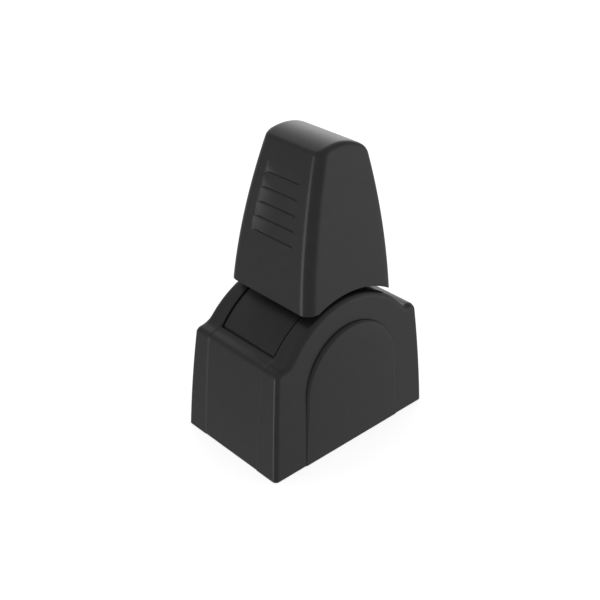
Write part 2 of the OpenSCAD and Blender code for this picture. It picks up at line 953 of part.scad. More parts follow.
// Curved cover under the slot, with a collar that clamps it to the yoke's column
module shutter() {
    collar_top = pivot_height + shutter_radius - shutter_thickness / 2;
    collar_low = dome_top - collar_depth - collar_skirt;
    color(shell_colour)
        difference() {
            union() {
                at_pivot() across(2 * shutter_half)
                    arc_strip(shutter_radius, shutter_radius - shutter_thickness,
                              shutter_front_angle, shutter_back_angle);
                at_pivot() across(2 * land_half)
                    arc_strip(land_radius, shutter_radius - shutter_thickness,
                              slot_front_angle - land_end_turn, slot_back_angle - land_end_turn);
                translate([-column_half_x - collar_wall, pivot_setback - column_half_y - collar_wall,
                           collar_low])
                    cube([2 * (column_half_x + collar_wall), 2 * (column_half_y + collar_wall),
                          collar_top - collar_low]);
            }
            translate([-column_half_x - fit_gap, pivot_setback - column_half_y - fit_gap, 0])
                cube([2 * (column_half_x + fit_gap), 2 * (column_half_y + fit_gap), 2 * dome_top]);
            shutter_screw_spots() cylinder(4 * collar_wall, r = screw_hole_r, center = true);
        }
}

module shutter_screws() {
    color(steel_colour)
        shutter_screw_spots() translate([0, 0, collar_wall]) screw(collar_wall + screw_bite);
}

// Toothed sector on a full hub ring, in mesh with the sensor gear
module drive_gear() {
    root_r = gear_module * (drive_teeth / 2 - 1.25);
    color(shell_colour)
        at_pivot()
            difference() {
                translate([-gear_x - gear_width / 2, 0, 0])
                    across(gear_width) {
                        circle(hub_radius);
                        intersection() {
                            circle(root_r);
                            rotate(sensor_angle)
                                polygon([[0, 0], [2 * root_r, -2 * root_r], [2 * root_r, 2 * root_r]]);
                        }
                        for (i = [-sector_half_teeth + 1 : sector_half_teeth - 1]) {
                            rotate(sensor_angle + 360 * i / drive_teeth) gear_tooth(drive_teeth);
                        }
                    }
                bar(-base_width, base_width, shaft_d / 2);
            }
}

module friction_disc() {
    color(steel_colour)
        at_pivot()
            difference() {
                bar(disc_x, disc_x + disc_thickness, disc_d / 2);
                bar(0, base_width, shaft_d / 2);
            }
}

module friction_ring(x0, thickness, inner_r) {
    difference() {
        at_pivot()
            difference() {
                bar(x0, x0 + thickness, disc_d / 2);
                bar(0, base_width, inner_r);
            }
        across(4 * base_width) guide_pin_spots() circle(guide_pin_r + fit_gap);
    }
}

module friction_pad() {
    color(rubber_colour) friction_ring(pad_x, pad_thickness, shaft_d / 2 + pad_shaft_gap);
}

module pressure_plate() {
    color(steel_colour) friction_ring(plate_x, pressure_thickness, shaft_d / 2 + plate_shaft_gap);
}

// Coned disc springs, stacked nose to nose between the pressure plate and the bearing flange
module disc_springs() {
    r_in = shaft_d / 2 + plate_shaft_gap;
    r_out = bush_flange_radius;
    rise = spring_pitch - spring_thickness - 2 * fit_gap;
    color(steel_colour)
        at_pivot()
            for (i = [0 : spring_count - 1]) {
                flip = i % 2;
                translate([spring_x + spring_pitch * (i + flip) + (flip == 0 ? fit_gap : -fit_gap),
                           0, 0])
                    mirror([flip, 0, 0]) rotate([0, 90, 0])
                        rotate_extrude()
                            polygon([[r_in, rise], [r_in, rise + spring_thickness],
                                     [r_out, spring_thickness], [r_out, 0]]);
            }
}

module guide_pins() {
    color(steel_colour)
        translate([(pad_x + guide_pin_set_back + frame_outer) / 2, 0, 0])
            across(frame_outer - pad_x - guide_pin_set_back) guide_pin_spots() circle(guide_pin_r);
}

// ---- Grip ----

module core_screw_spots() {
    for (z = core_screw_z) {
        translate([0, pivot_setback, z]) rotate([-90, 0, 0]) children();
    }
}

// Block that fills the space between the column and the grip shells
module grip_core() {
    color(frame_colour)
        difference() {
            translate([-core_half_x, pivot_setback - core_half_y, core_bottom])
                cube([2 * core_half_x, 2 * core_half_y, core_top - core_bottom]);
            translate([-column_half_x - fit_gap,
                       pivot_setback - column_half_y + column_step - fit_gap, 0])
                cube([2 * (column_half_x + fit_gap), 2 * (column_half_y - column_step + fit_gap),
                      2 * overall_height]);
            core_screw_spots() cylinder(2 * core_half_y + over, r = screw_hole_r);
        }
}

module core_screws() {
    color(steel_colour)
        core_screw_spots() translate([0, 0, core_half_y]) screw(core_half_y + screw_bite);
}

// Outer form of the grip, drawn inwards by inset
module grip_form(inset) {
    r = max(grip_corner - inset, smallest_round);
    hull() {
        for (i = [-1 : form_steps + 1]) {
            z = mix(grip_foot_z, overall_height, i / form_steps);
            translate([0, 0, z])
                for (sx = [-1, 1]) {
                    for (y = [grip_front_y(z) + inset + r, grip_back_y(z) - inset - r]) {
                        translate([sx * (half_width(z) - inset - r), y, 0])
                            cylinder(slice, r = r, $fn = form_fn);
                    }
                }
        }
    }
}

// Side profile of the grip: a crown above and a hollow that clears the dome below
module grip_profile(inset) {
    difference() {
        union() {
            translate([crown_y, crown_z]) circle(crown_radius - inset);
            translate([crown_y - crown_radius + inset, 0])
                square([2 * (crown_radius - inset), crown_z]);
            translate([-base_length / 2, 0]) square([base_length, crown_z - crown_radius / 2]);
        }
        translate([pivot_setback, pivot_height]) {
            circle(dome_radius + grip_gap + inset);
            translate([-base_length, 0])
                square([base_length - grip_flat_y, grip_front_rise + inset]);
        }
    }
}

module grip_skin() {
    difference() {
        intersection() {
            grip_form(0);
            across(2 * base_width) grip_profile(0);
        }
        intersection() {
            grip_form(grip_wall);
            across(2 * base_width) grip_profile(grip_wall);
        }
        translate([-column_half_x - window_gap, pivot_setback - column_half_y - window_gap, 0])
            cube([2 * (column_half_x + window_gap), 2 * (column_half_y + window_gap),
                  dome_top + grip_gap + 3 * grip_wall]);
    }
}

// One half of the space, in front of the split plane or behind it
module half_space(front) {
    size = 2 * overall_height;
    translate([-size / 2, front ? split_y - size : split_y, 0]) cube(size);
}

module finger_grooves() {
    for (i = [0 : groove_count - 1]) {
        z = overall_height - groove_drop + i * groove_pitch;
        y = grip_front_y(z);
        half = groove_half_low - groove_half_step * i;
        translate([0, y, z]) rotate([atan(groove_front_slope), 0, 0])
            across(2 * half)
                polygon([[-over, 0], [groove_depth, 0], [0, groove_pitch - groove_land],
                         [-over, groove_pitch - groove_land]]);
    }
}

module grip_front() {
    color(shell_colour)
        difference() {
            union() {
                intersection() {
                    grip_skin();
                    half_space(true);
                }
                intersection() {
                    grip_form(grip_wall / 2);
                    half_space(true);
                    grip_screw_axes() translate([0, 0, -2 * base_width])
                        cylinder(2 * base_width, r = grip_boss_radius);
                }
            }
            finger_grooves();
            grip_screw_axes() translate([0, 0, -grip_pilot_depth])
                cylinder(grip_pilot_depth + over, r = pilot_r);
        }
}

// Screw axes point backwards, and start on the split plane
module grip_screw_axes() {
    for (spot = grip_screw_spots) {
        translate([spot[0], split_y, spot[1]]) rotate([-90, 0, 0]) children();
    }
}

module grip_rear() {
    color(shell_colour)
        difference() {
            union() {
                intersection() {
                    grip_skin();
                    half_space(false);
                }
                intersection() {
                    grip_form(grip_wall / 2);
                    half_space(false);
                    grip_screw_axes() cylinder(2 * base_width, r = grip_boss_radius + over);
                }
            }
            grip_screw_axes() translate([0, 0, -over]) cylinder(base_width, r = screw_hole_r);
            grip_screw_axes() translate([0, 0, grip_screw_seat])
                cylinder(base_width, d = screw_head_d + 2 * easy_gap);
        }
}

module grip_screws() {
    color(steel_colour)
        grip_screw_axes() translate([0, 0, grip_screw_seat]) screw(grip_screw_length);
}

housing();
side_cover_left();
side_cover_right();
cover_clips();
base_plate();
base_screws();
feet();
mount_inserts();
side_frame_left();
side_frame_right();
chassis_screws();
bearing_left();
bearing_right();
stop_bracket();
stop_buffers();
circuit_board();
board_screws();
signal_socket();
sensor_body();
sensor_nut();
sensor_shaft();
sensor_gear();
pivot_shaft();
retaining_rings();
yoke();
hub_screw();
shutter();
shutter_screws();
drive_gear();
friction_disc();
friction_pad();
pressure_plate();
disc_springs();
guide_pins();
grip_core();
core_screws();
grip_front();
grip_rear();
grip_screws();
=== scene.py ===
"""Looks of a single lever controller: a domed base with a shutter in its slot, and a hand grip.

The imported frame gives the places, the outer sizes and the moving bodies. Everything is in metres.
"""

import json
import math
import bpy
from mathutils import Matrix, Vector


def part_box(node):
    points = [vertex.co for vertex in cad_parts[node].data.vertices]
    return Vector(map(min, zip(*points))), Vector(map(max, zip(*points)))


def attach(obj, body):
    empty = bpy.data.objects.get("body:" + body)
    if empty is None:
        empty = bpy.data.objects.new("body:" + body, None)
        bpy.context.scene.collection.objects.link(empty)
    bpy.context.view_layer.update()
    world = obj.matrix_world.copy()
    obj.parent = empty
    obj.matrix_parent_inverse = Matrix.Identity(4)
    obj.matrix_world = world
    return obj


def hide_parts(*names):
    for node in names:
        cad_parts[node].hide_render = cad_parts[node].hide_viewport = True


bl_info = {
    "name": "Lever Controller",
    "version": (1, 0, 0),
    "blender": (4, 5, 0),
    "location": "View3D > Sidebar > Controller",
    "description": "Builds the moulded shells, fasteners, finishes and studio of a lever controller",
    "category": "Object",
}

import bmesh
import bpy
import numpy as np
from mathutils import Vector

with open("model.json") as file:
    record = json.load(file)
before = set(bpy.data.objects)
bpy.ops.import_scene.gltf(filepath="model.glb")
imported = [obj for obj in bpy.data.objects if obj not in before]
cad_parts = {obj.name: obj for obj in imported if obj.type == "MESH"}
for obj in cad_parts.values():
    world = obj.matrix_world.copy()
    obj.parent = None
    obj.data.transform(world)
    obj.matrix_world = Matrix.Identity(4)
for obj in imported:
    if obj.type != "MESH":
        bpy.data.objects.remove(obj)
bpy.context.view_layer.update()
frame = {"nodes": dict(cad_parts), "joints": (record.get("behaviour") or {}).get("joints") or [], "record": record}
MM = 0.001


def joint_place(name):
    """Where a joint's axis is, in the frame."""
    joint = next(j for j in frame["joints"] if j["name"] == name)
    return Vector(joint["pos_m"])


PIVOT = joint_place("lever_swing")
HOUSING_LOW, HOUSING_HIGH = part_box("housing")
COVER_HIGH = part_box("side_cover_right")[1]
SHUTTER_LOW, SHUTTER_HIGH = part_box("shutter")
SOCKET_LOW, SOCKET_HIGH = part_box("signal_socket")
DOME_RADIUS = HOUSING_HIGH.z - PIVOT.z
FOOT_Z = HOUSING_LOW.z
SPLIT_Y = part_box("grip_front")[1].y
GRIP_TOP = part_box("grip_rear")[1].z

# Reaches of the solids that cut
PAST_ALL = 0.3  # past the whole object
PAST_GRIP = 0.06  # past the grip on every side
PAST_SCREWS = 0.05  # past both ends of the grip's screws
PAST_SIDE = 10 * MM  # past a side of the base
PAST_DOME, UNDER_DOME = 8 * MM, 6 * MM  # over and under the dome's surface, at the slot
UNDER = -4 * MM  # outlines go down to here, and are then cut off flat at the foot

# Small fits and details
INNER_ROUND = 0.6 * MM  # smallest rounding inside the shells
INNER_LINE = 15 * MM  # extra line of the cavity's faces, from the middle
SUPPORT = 0.3 * MM  # from a rounded edge to the line that keeps its shading tight
SOCKET_GAP = 0.15 * MM  # round the data socket
PANEL_BACK, PANEL_END = -41 * MM, -40 * MM  # the front panel's recess fades out between these Y
LAND_CLEARANCE = 0.3 * MM  # over the shutter's land, in its track
BAND_CLEARANCE = 0.5 * MM  # beside the shutter's band, in its track
BAND_TRACK, LAND_TRACK = 5 * MM, 4.5 * MM  # depths of the two tracks under the dome's surface
TRACK_END = math.radians(91)  # both tracks run on past the horizontal
COVER_BACK_GAP = 0.05 * MM  # behind a side cover, in its seat
COLUMN_HALF_X, COLUMN_HALF_Y = 6 * MM, 9 * MM  # lever column
COLUMN_FIT = 0.05 * MM  # round the column, in the shutter's collar
COLUMN_SLACK = 1 * MM  # round the column, in the grip's foot
GRIP_BOSS = 3.8 * MM  # radius of the pillars round the grip's screws
SHANK_HOLE, HEAD_HOLE = 1.6 * MM, 2.75 * MM  # radii of the grip screws' holes
GRIP_HEAD = 1.8 * MM  # height of the grip screws' heads

# Shares and limits of the forms
BESIDE = 0.03  # from a rounded corner to the line that keeps its shading tight, as a share
FACING = (0.3, 0.95)  # an edge that faces an end this much takes none, or all, of its rounding
UPRIGHT = (0.85, 0.985)  # a surface that faces an end this much is a shoulder, or a wall
GRIP_ROOT = 0.7  # the grip's solid starts inside the dome, at this share of its radius
NEAR_RIM = 0.995  # last line of the grip's walls before the crown's rounding
COVER_POLE = 0.8  # height of the middle of a cover's face, as a share of the arch centre's

# Studio light
FLOOR_GLOW = 0.75  # the floor's own light, so that it stays as pale as the backdrop
ROOM_LEVEL = 0.36  # even light of the room
# Soft panels: azimuth, elevation and half angle in degrees, and strength
PANELS = [(-109, elevation, 6, 3.2) for elevation in (-30, -18, -6, 6)]
PANELS += [(43, -6, 22, 0.55), (137, 12, 26, 1.3)]


# ---- Sizes and colours ----


def length(name, description, millimetres):
    """A length property, given in millimetres and kept in metres."""
    return bpy.props.FloatProperty(
        name=name, description=description, default=millimetres * MM, unit="LENGTH", precision=5
    )


def angle(name, description, degrees):
    """An angle property, given in degrees and kept in radians."""
    return bpy.props.FloatProperty(
        name=name, description=description, default=math.radians(degrees), unit="ROTATION"
    )


def number(name, description, value):
    """A property without a unit."""
    return bpy.props.FloatProperty(name=name, description=description, default=value, precision=4)


def linear(hex_colour):
    """An sRGB hex colour as linear red, green and blue."""
    channels = [int(hex_colour[i : i + 2], 16) / 255 for i in (1, 3, 5)]
    return tuple(c / 12.92 if c <= 0.04045 else ((c + 0.055) / 1.055) ** 2.4 for c in channels)


def colour(name, description, hex_colour):
    """A colour property, given as an sRGB hex value."""
    return bpy.props.FloatVectorProperty(
        name=name, description=description, subtype="COLOR", size=3, min=0, max=1,
        default=linear(hex_colour),
    )


class BaseSizes(bpy.types.PropertyGroup):
    """Sizes of the base shell that the frame's box doesn't give."""

    side_slope: number("Side slope", "Inward slope of the sides at the table", 0.04)
    side_bow: length("Side bow", "Radius of the gentle bow of the sides", 1515)
    end_slope: number("End slope", "Inward slope of the front and back at the table", 0.055)
    end_bow: length("End bow", "Radius of the gentle bow of the front and back", 1000)
    wall: length("Wall", "Wall of the shell", 2.6)
    corner: length("Corner", "Radius of the upright corners", 2.4)
    edge: length("Edge", "Radius along the dome and the shoulders", 2.9)
    front_shoulder: length("Front shoulder", "Height of the front shoulder past its edge", 60.5)
    front_root: length("Front root", "Height of the front shoulder at the dome", 63)
    back_shoulder: length("Back shoulder", "Height of the back shoulder", 64.5)
    front_round: length("Front rounding", "Radius of the front shoulder's outer edge", 3.2)
    root_round: length("Root rounding", "Radius between the front shoulder and the dome", 8)
    back_round: length("Back rounding", "Radius of the back shoulder's outer edge", 5)
    panel_recess: length("Panel recess", "Depth of the shallow centre panel in front", 0.25)
    panel_half: length("Panel half width", "Half width of the shallow centre panel", 21)
    panel_slant: length("Panel slant", "Width of the slanted edge of the centre panel", 0.9)
    slot_half: length("Slot half width", "Half width of the slot", 20.6)
    slot_front: angle("Slot front", "Angle from upright to the slot's front edge", 55.5)
    slot_back: angle("Slot back", "Angle from upright to the slot's back edge", 55.5)
    lip: length("Lip", "Thickness of the dome beside the slot", 1)
    softening: length("Softening", "Rounding of cut edges", 0.25)


class CoverSizes(bpy.types.PropertyGroup):
    """Sizes of the two arched side covers."""

    centre: length("Arch centre", "Height of the centre of the round top", 39)
    slope: number("Face slope", "Inward slope of the flat face", 0.035)
    proud: length("Proud", "How far the face stands proud at the table", 0.4)
    seat: length("Seat", "Depth of the cover's seat in the shell", 0.8)
    gap: length("Gap", "Gap round the cover in its seat", 0.03)
    round_low: length("Rounding below", "Width of the rounded edge at the table", 0.8)
    round_high: length("Rounding above", "Width of the rounded edge round the arch", 1.9)


class ShutterSizes(bpy.types.PropertyGroup):
    """Sizes of the curved shutter."""

    band_drop: length("Band drop", "Depth of the band under the dome's surface", 1.3)
    land_drop: length("Land drop", "Depth of the raised land under the dome's surface", 0.4)
    land_gap: length("Land gap", "Gap round the raised land, with the lever upright", 1)
    thickness: length("Thickness", "Thickness of the band", 1.5)
    edge: length("Edge", "Radius of the land's long edges", 0.4)
    collar_wall: length("Collar wall", "Wall of the collar round the lever column", 3)
    collar_height: length("Collar height", "Height of the collar under the band", 12)


class GripSizes(bpy.types.PropertyGroup):
    """Sizes of the two grip shells."""

    wall: length("Wall", "Wall of the shells", 2.4)
    gap: length("Gap", "Gap between the dome and the grip's hollow foot", 3)
    front_foot: length("Front foot", "Front of the grip at its foot, ahead of the shaft", 29)
    front_top: length("Front top", "Front of the grip at its top, ahead of the shaft", 11.2)
    front_bow: length("Front bow", "Outward bow of the front", 3)
    back_foot: length("Back foot", "Back of the grip at its foot, behind the shaft", 32.5)
    back_top: length("Back top", "Back of the grip at its top, behind the shaft", 19.5)
    back_bow: length("Back bow", "Outward bow of the back", 2.5)
    crown_radius: length("Crown radius", "Radius of the crown", 30)
    crown_setback: length("Crown setback", "How far the crown's centre is behind the shaft", 0.5)
    corner_foot: length("Corner at foot", "Radius of the upright corners at the foot", 6.2)
    corner_top: length("Corner at top", "Radius of the upright corners near the top", 5.4)
    crown_edge: length("Crown edge", "Radius along the side edges of the crown", 2.6)
    crown_front: length("Crown front", "Radius along the front edge of the crown", 1.2)
    front_rise: length("Front rise", "Height of the front lower edge above the shaft", 50.3)
    back_round: length("Back rounding", "Radius of the top edge at the back", 4.5)
    seam: length("Seam", "Width of the seam between the two shells", 0.01)
    softening: length("Softening", "Rounding of the edge of the hollow foot", 0.8)


class GrooveSizes(bpy.types.PropertyGroup):
    """Sizes of the finger grooves."""

    count: bpy.props.IntProperty(name="Count", description="Number of grooves", default=5)
    pitch: length("Pitch", "Distance between grooves", 7.5)
    depth: length("Depth", "Depth at the lower ledge", 0.6)
    land: length("Land", "Plain strip between grooves", 1)
    drop: length("Drop", "Height of the lowest ledge below the top of the grip", 48.8)
    half_low: length("Lowest half width", "Half width of the lowest groove", 15)
    half_step: length("Half width step", "How much narrower each higher groove is", 0.78)
    end_slope: number("End slope", "Slant of the end walls, as a share of the depth", 3.4)
    ledge_slope: number("Ledge slope", "Fall of the ledge, as a share of the depth", 0.5)
    tilt: angle("Tilt", "Lean of the grooves with the front face", 14)


class ScrewSizes(bpy.types.PropertyGroup):
    """Sizes of the pan-head screws."""

    core: length("Core", "Radius of the shank at the bottom of its thread", 1.0)
    crest: length("Crest", "Radius of the shank at the crest of its thread", 1.2)
    pitch: length("Thread pitch", "Distance between threads", 0.9)
    head: length("Head", "Radius of the head", 2.6)
    head_height: length("Head height", "Height of the head", 1.8)
    recess: length("Recess", "Half length of the cross recess", 1.5)
    blade: length("Blade", "Half width of the cross recess's arms", 0.35)
    recess_depth: length("Recess depth", "Depth of the cross recess", 1.1)


class FinishColours(bpy.types.PropertyGroup):
    """Colours of the finishes."""

    shell: colour("Shell", "Charcoal of the base and the side covers", "#2d2d2e")
    grip: colour("Grip", "Charcoal of the grip", "#2e2e2f")
    shutter: colour("Shutter", "Charcoal of the shutter", "#2a2a2b")
    acetal: colour("Acetal", "Natural acetal of the gears and the sensor", "#d9d4c6")
    casting: colour("Casting", "Raw die-cast aluminium", "#a9abad")
    steel: colour("Steel", "Zinc-plated steel", "#b9bcc0")
    brass: colour("Brass", "Turned brass", "#c9a25a")
    rubber: colour("Rubber", "Black moulded rubber", "#18181a")
    felt: colour("Felt", "Pressed wool felt", "#6b6255")
    board: colour("Board", "Solder mask of the circuit board", "#1f5a33")
    floor: colour("Floor", "Pale studio floor", "#f4f4f4")


class StudioSizes(bpy.types.PropertyGroup):
    """Camera and studio."""

    azimuth: angle("Azimuth", "Camera's turn round the object; 0 looks along +Y", 47.288)
    elevation: angle("Elevation", "Camera's height as an angle", 30.171)
    distance: length("Distance", "Camera's distance", 578.77)
    aim_right: length("Aim right", "Shift of the aim to the camera's right", -3.95)
    aim_up: length("Aim up", "Shift of the aim to the camera's up", 61.85)
    lens: number("Lens", "Focal length in millimetres on a 36 mm sensor", 61.84)
    floor_radius: length("Floor radius", "Radius of the floor", 30000)


GROUPS = {
    "base": BaseSizes,
    "cover": CoverSizes,
    "shutter": ShutterSizes,
    "grip": GripSizes,
    "groove": GrooveSizes,
    "screw": ScrewSizes,
    "colours": FinishColours,
    "studio": StudioSizes,
}


def sizes(context, group):
    """One of this add-on's property groups."""
    return getattr(context.scene, "controller_" + group)


# ---- Outlines, drawn in Y and Z ----


def smoothstep(low, high, value):
    """0 below low and 1 above high, with a smooth rise between them."""
    t = np.clip((value - low) / (high - low), 0, 1)
    return t * t * (3 - 2 * t)


def mix(a, b, t):
    """a where t is 0, b where t is 1."""
    return a * (1 - t) + b * t


def arc(centre, radius, start, end, count):
    """Points of an arc. Angles are in radians from upright, positive towards the back."""
    turn = np.linspace(start, end, count)
    return np.column_stack(
        [centre[0] + radius * np.sin(turn), centre[1] + radius * np.cos(turn)]
    )


def trimmed(points, start, end):
    """An open line with a length cut off each end."""
    steps = np.linalg.norm(np.diff(points, axis=0), axis=1)
    along = np.concatenate([[0], np.cumsum(steps)])
    inside = (along > start) & (along < along[-1] - end)
    places = np.concatenate([[start], along[inside], [along[-1] - end]])
    return np.column_stack([np.interp(places, along, points[:, k]) for k in (0, 1)])


def direction(points, at_end):
    """Unit direction of an open line at its end or at its start."""
    step = points[-1] - points[-2] if at_end else points[1] - points[0]
    return step / np.linalg.norm(step)


def rounded_outline(pieces, radii, steps=9):
    """A closed outline of open lines that meet end to end. radii[k] rounds the end of piece k."""
    count = len(pieces)
    cut = []
    for k in range(count):
        ahead = direction(pieces[(k + 1) % count], False)
        turn = math.acos(np.clip(direction(pieces[k], True) @ ahead, -1, 1))
        cut.append(radii[k] * math.tan(turn / 2) if radii[k] else 0)
    lines = [trimmed(p, cut[k - 1], cut[k]) for k, p in enumerate(pieces)]
    outline = []
    for k, line in enumerate(lines):
        outline.append(line[:-1])
        end, start = line[-1], lines[(k + 1) % count][0]
        if not radii[k]:
            continue
        d0, d1 = direction(line, True), direction(lines[(k + 1) % count], False)
        turn = math.acos(np.clip(d0 @ d1, -1, 1))
        reach = 4 / 3 * math.tan(turn / 4) * radii[k]
        t = np.linspace(0, 1, steps)[:-1, None]
        first, second = end + d0 * reach, start - d1 * reach
        outline.append(
            end * (1 - t) ** 3 + first * 3 * t * (1 - t) ** 2
            + second * 3 * t**2 * (1 - t) + start * t**3
        )
    return np.concatenate(outline)


def outward(outline):
    """Mitred outward normals of a closed outline that goes up the front and down the back."""
    ahead = np.roll(outline, -1, axis=0) - outline
    ahead /= np.linalg.norm(ahead, axis=1)[:, None]
    after = np.column_stack([-ahead[:, 1], ahead[:, 0]])
    before = np.roll(after, 1, axis=0)
    return (before + after) / (1 + np.sum(before * after, axis=1))[:, None]


# ---- Meshes ----


def mesh_of_rings(name, rings, poles):
    """A closed mesh of rings of equally many points, with a pole vertex past each end ring."""
    count = len(rings[0])
    verts = np.concatenate([*rings, np.array(poles)])
    faces = []
    for r in range(len(rings) - 1):
        for i in range(count):
            j = (i + 1) % count
            faces.append((r * count + i, r * count + j, (r + 1) * count + j, (r + 1) * count + i))
    first, last = len(verts) - 2, len(verts) - 1
    top = (len(rings) - 1) * count
    for i in range(count):
        j = (i + 1) % count
        faces.append((j, i, first))
        faces.append((top + i, top + j, last))
    mesh = bpy.data.meshes.new(name)
    mesh.from_pydata(verts.tolist(), [], faces)
    return cleaned(mesh)


def cleaned(mesh):
    """Merges doubles and points the faces of a closed mesh outwards.

    It turns the housing's cavity inside out: see hollows.
    """
    made = bmesh.new()
    made.from_mesh(mesh)
    bmesh.ops.remove_doubles(made, verts=made.verts, dist=1e-7)
    bmesh.ops.recalc_face_normals(made, faces=made.faces)
    made.to_mesh(mesh)
    made.free()
    return mesh


def slab(name, outline, low_x, high_x, levels=1):
    """A closed solid of a side outline. low_x and high_x give X from Y and Z, as arrays do."""
    middle = outline.mean(axis=0)
    shares = np.linspace(1, 0, levels + 1)[:-1]

    def cap(share, place):
        yz = middle + (outline - middle) * share
        return np.column_stack([place(yz[:, 0], yz[:, 1]), yz])

    rings = [cap(s, low_x) for s in shares[::-1]] + [cap(s, high_x) for s in shares]
    poles = [
        [float(place(middle[:1], middle[1:])[0]), *middle] for place in (low_x, high_x)
    ]
    return mesh_of_rings(name, rings, poles)


def prism(name, outline, low, high):
    """A straight solid of a side outline between two values of X."""
    return slab(name, outline, lambda y, z: y * 0 + low, lambda y, z: y * 0 + high)


def box(name, low, high):
    """A rectangular solid between two corners."""
    corners = np.array([[low[1], low[2]], [low[1], high[2]], [high[1], high[2]], [high[1], low[2]]])
    return prism(name, corners, low[0], high[0])


def pillow(name, outline, radii, half_width, pole, stations, recess=None, turns=6, fans=7):
    """A closed solid of a side outline, whose long edges are rounded by radii.

    half_width gives the half width at a height, stations the X places of the strip's own lines,
    and recess the depth of the surface at a line and each point of the outline.
    """
    normal = outward(outline)
    half = [
        np.column_stack([np.full(len(outline), x), outline - normal * depth[:, None]])
        for x, depth in ((x, recess(x) if recess else np.zeros(len(outline))) for x in stations)
    ]
    half.append(np.column_stack([half_width(outline[:, 1]) - radii - SUPPORT, outline]))
    for turn in np.linspace(0, math.pi / 2, turns + 1):
        yz = outline - normal * (radii * (1 - math.cos(turn)))[:, None]
        half.append(
            np.column_stack([half_width(yz[:, 1]) - radii * (1 - math.sin(turn)), yz])
        )
    yz = outline - normal * (radii + SUPPORT)[:, None]
    half.append(np.column_stack([half_width(yz[:, 1]), yz]))
    edge = half[-1][:, 1:]
    for share in np.linspace(1, 0, fans + 1)[1:-1]:
        yz = pole + (edge - pole) * share
        half.append(np.column_stack([half_width(yz[:, 1]), yz]))
    mirror = np.array([-1, 1, 1])
    rings = [ring * mirror for ring in half[:0:-1]] + half
    tip = np.array([float(half_width(np.array([pole[1]]))[0]), *pole])
    return mesh_of_rings(name, rings, [tip * mirror, tip])


def lathe(name, profile, axis_place=(0, 0), steps=32):
    """A closed solid of revolution about a line along Z, from radius and height pairs."""
    turn = np.linspace(0, 2 * math.pi, steps, endpoint=False)
    around = np.column_stack([np.cos(turn), np.sin(turn)])
    rings = [
        np.column_stack([around * radius + np.array(axis_place), np.full(steps, height)])
        for radius, height in profile
    ]
    poles = [[*axis_place, profile[0][1]], [*axis_place, profile[-1][1]]]
    return mesh_of_rings(name, rings, poles)


def rod(name, start, end, radius, steps=40):
    """A closed cylinder along Y between two points."""
    turn = np.linspace(0, 2 * math.pi, steps, endpoint=False)
    rings = [
        np.column_stack(
            [p[0] + radius * np.cos(turn), np.full(steps, p[1]), p[2] + radius * np.sin(turn)]
        )
        for p in (start, end)
    ]
    return mesh_of_rings(name, rings, [list(start), list(end)])


def placed(mesh):
    """A new object at the origin that holds the mesh."""
    made = bpy.data.objects.new(mesh.name, mesh)
    bpy.context.scene.collection.objects.link(made)
    return made


def settled(piece):
    """Turns an object's modifiers into its own mesh."""
    graph = bpy.context.evaluated_depsgraph_get()
    graph.update()
    mesh = bpy.data.meshes.new_from_object(piece.evaluated_get(graph))
    piece.modifiers.clear()
    piece.data = mesh
    return piece


def combined(piece, operation, *tools):
    """Applies solids to a piece by a boolean, one at a time, and removes them."""
    for tool in tools:
        other = placed(tool) if isinstance(tool, bpy.types.Mesh) else tool
        step = piece.modifiers.new(operation, "BOOLEAN")
        step.operation = operation
        step.solver = "MANIFOLD"
        step.object = other
        settled(piece)
        bpy.data.objects.remove(other)
    if not piece.data.polygons:
        raise RuntimeError(f"{piece.name} came out empty")
    return piece


def softened(piece, width, limit=math.radians(40), segments=2):
    """Rounds the sharp edges a little."""
    step = piece.modifiers.new("Soften", "BEVEL")
    step.width = width
    step.segments = segments
    step.limit_method = "ANGLE"
    step.angle_limit = limit
    step.harden_normals = False
    step.use_clamp_overlap = True
    step.miter_outer = "MITER_ARC"
    return settled(piece)


def shaded(piece, limit=math.radians(32)):
    """Smooth shading, with edges sharper than the limit kept crisp."""
    piece.data.polygons.foreach_set("use_smooth", [True] * len(piece.data.polygons))
    piece.data.set_sharp_from_angle(angle=limit)
    piece.data.update()
    return piece


def finished(piece, name, body, slot, material, *nodes):
    """Names a piece, gives it its finish and body, and hides the frame nodes it stands for."""
    piece.name = name
    piece.data.name = name
    piece.data.materials.clear()
    piece.data.materials.append(material)
    shaded(piece)
    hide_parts(*nodes)
    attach(piece, body)
    return piece


# ---- The base's and the grip's shared forms ----


def side_lean(base, z):
    """How far a side has leaned inwards at a height."""
    return base.side_slope * z + z * z / (2 * base.side_bow)


def end_lean(base, z):
    """How far the front or back has leaned inwards at a height."""
    return base.end_slope * z + z * z / (2 * base.end_bow)


def half_width(base, z):
    """Half width of the base at a height. The grip's sides carry the same line on."""
    return HOUSING_HIGH.x + side_lean(base, FOOT_Z) - side_lean(base, z)


def half_length(base, z):
    """Half length of the base at a height."""
    return HOUSING_HIGH.y + end_lean(base, FOOT_Z) - end_lean(base, z)


def dome_angle(height):
    """Angle from upright at which the dome is at a height."""
    return math.acos((height - PIVOT.z) / DOME_RADIUS)


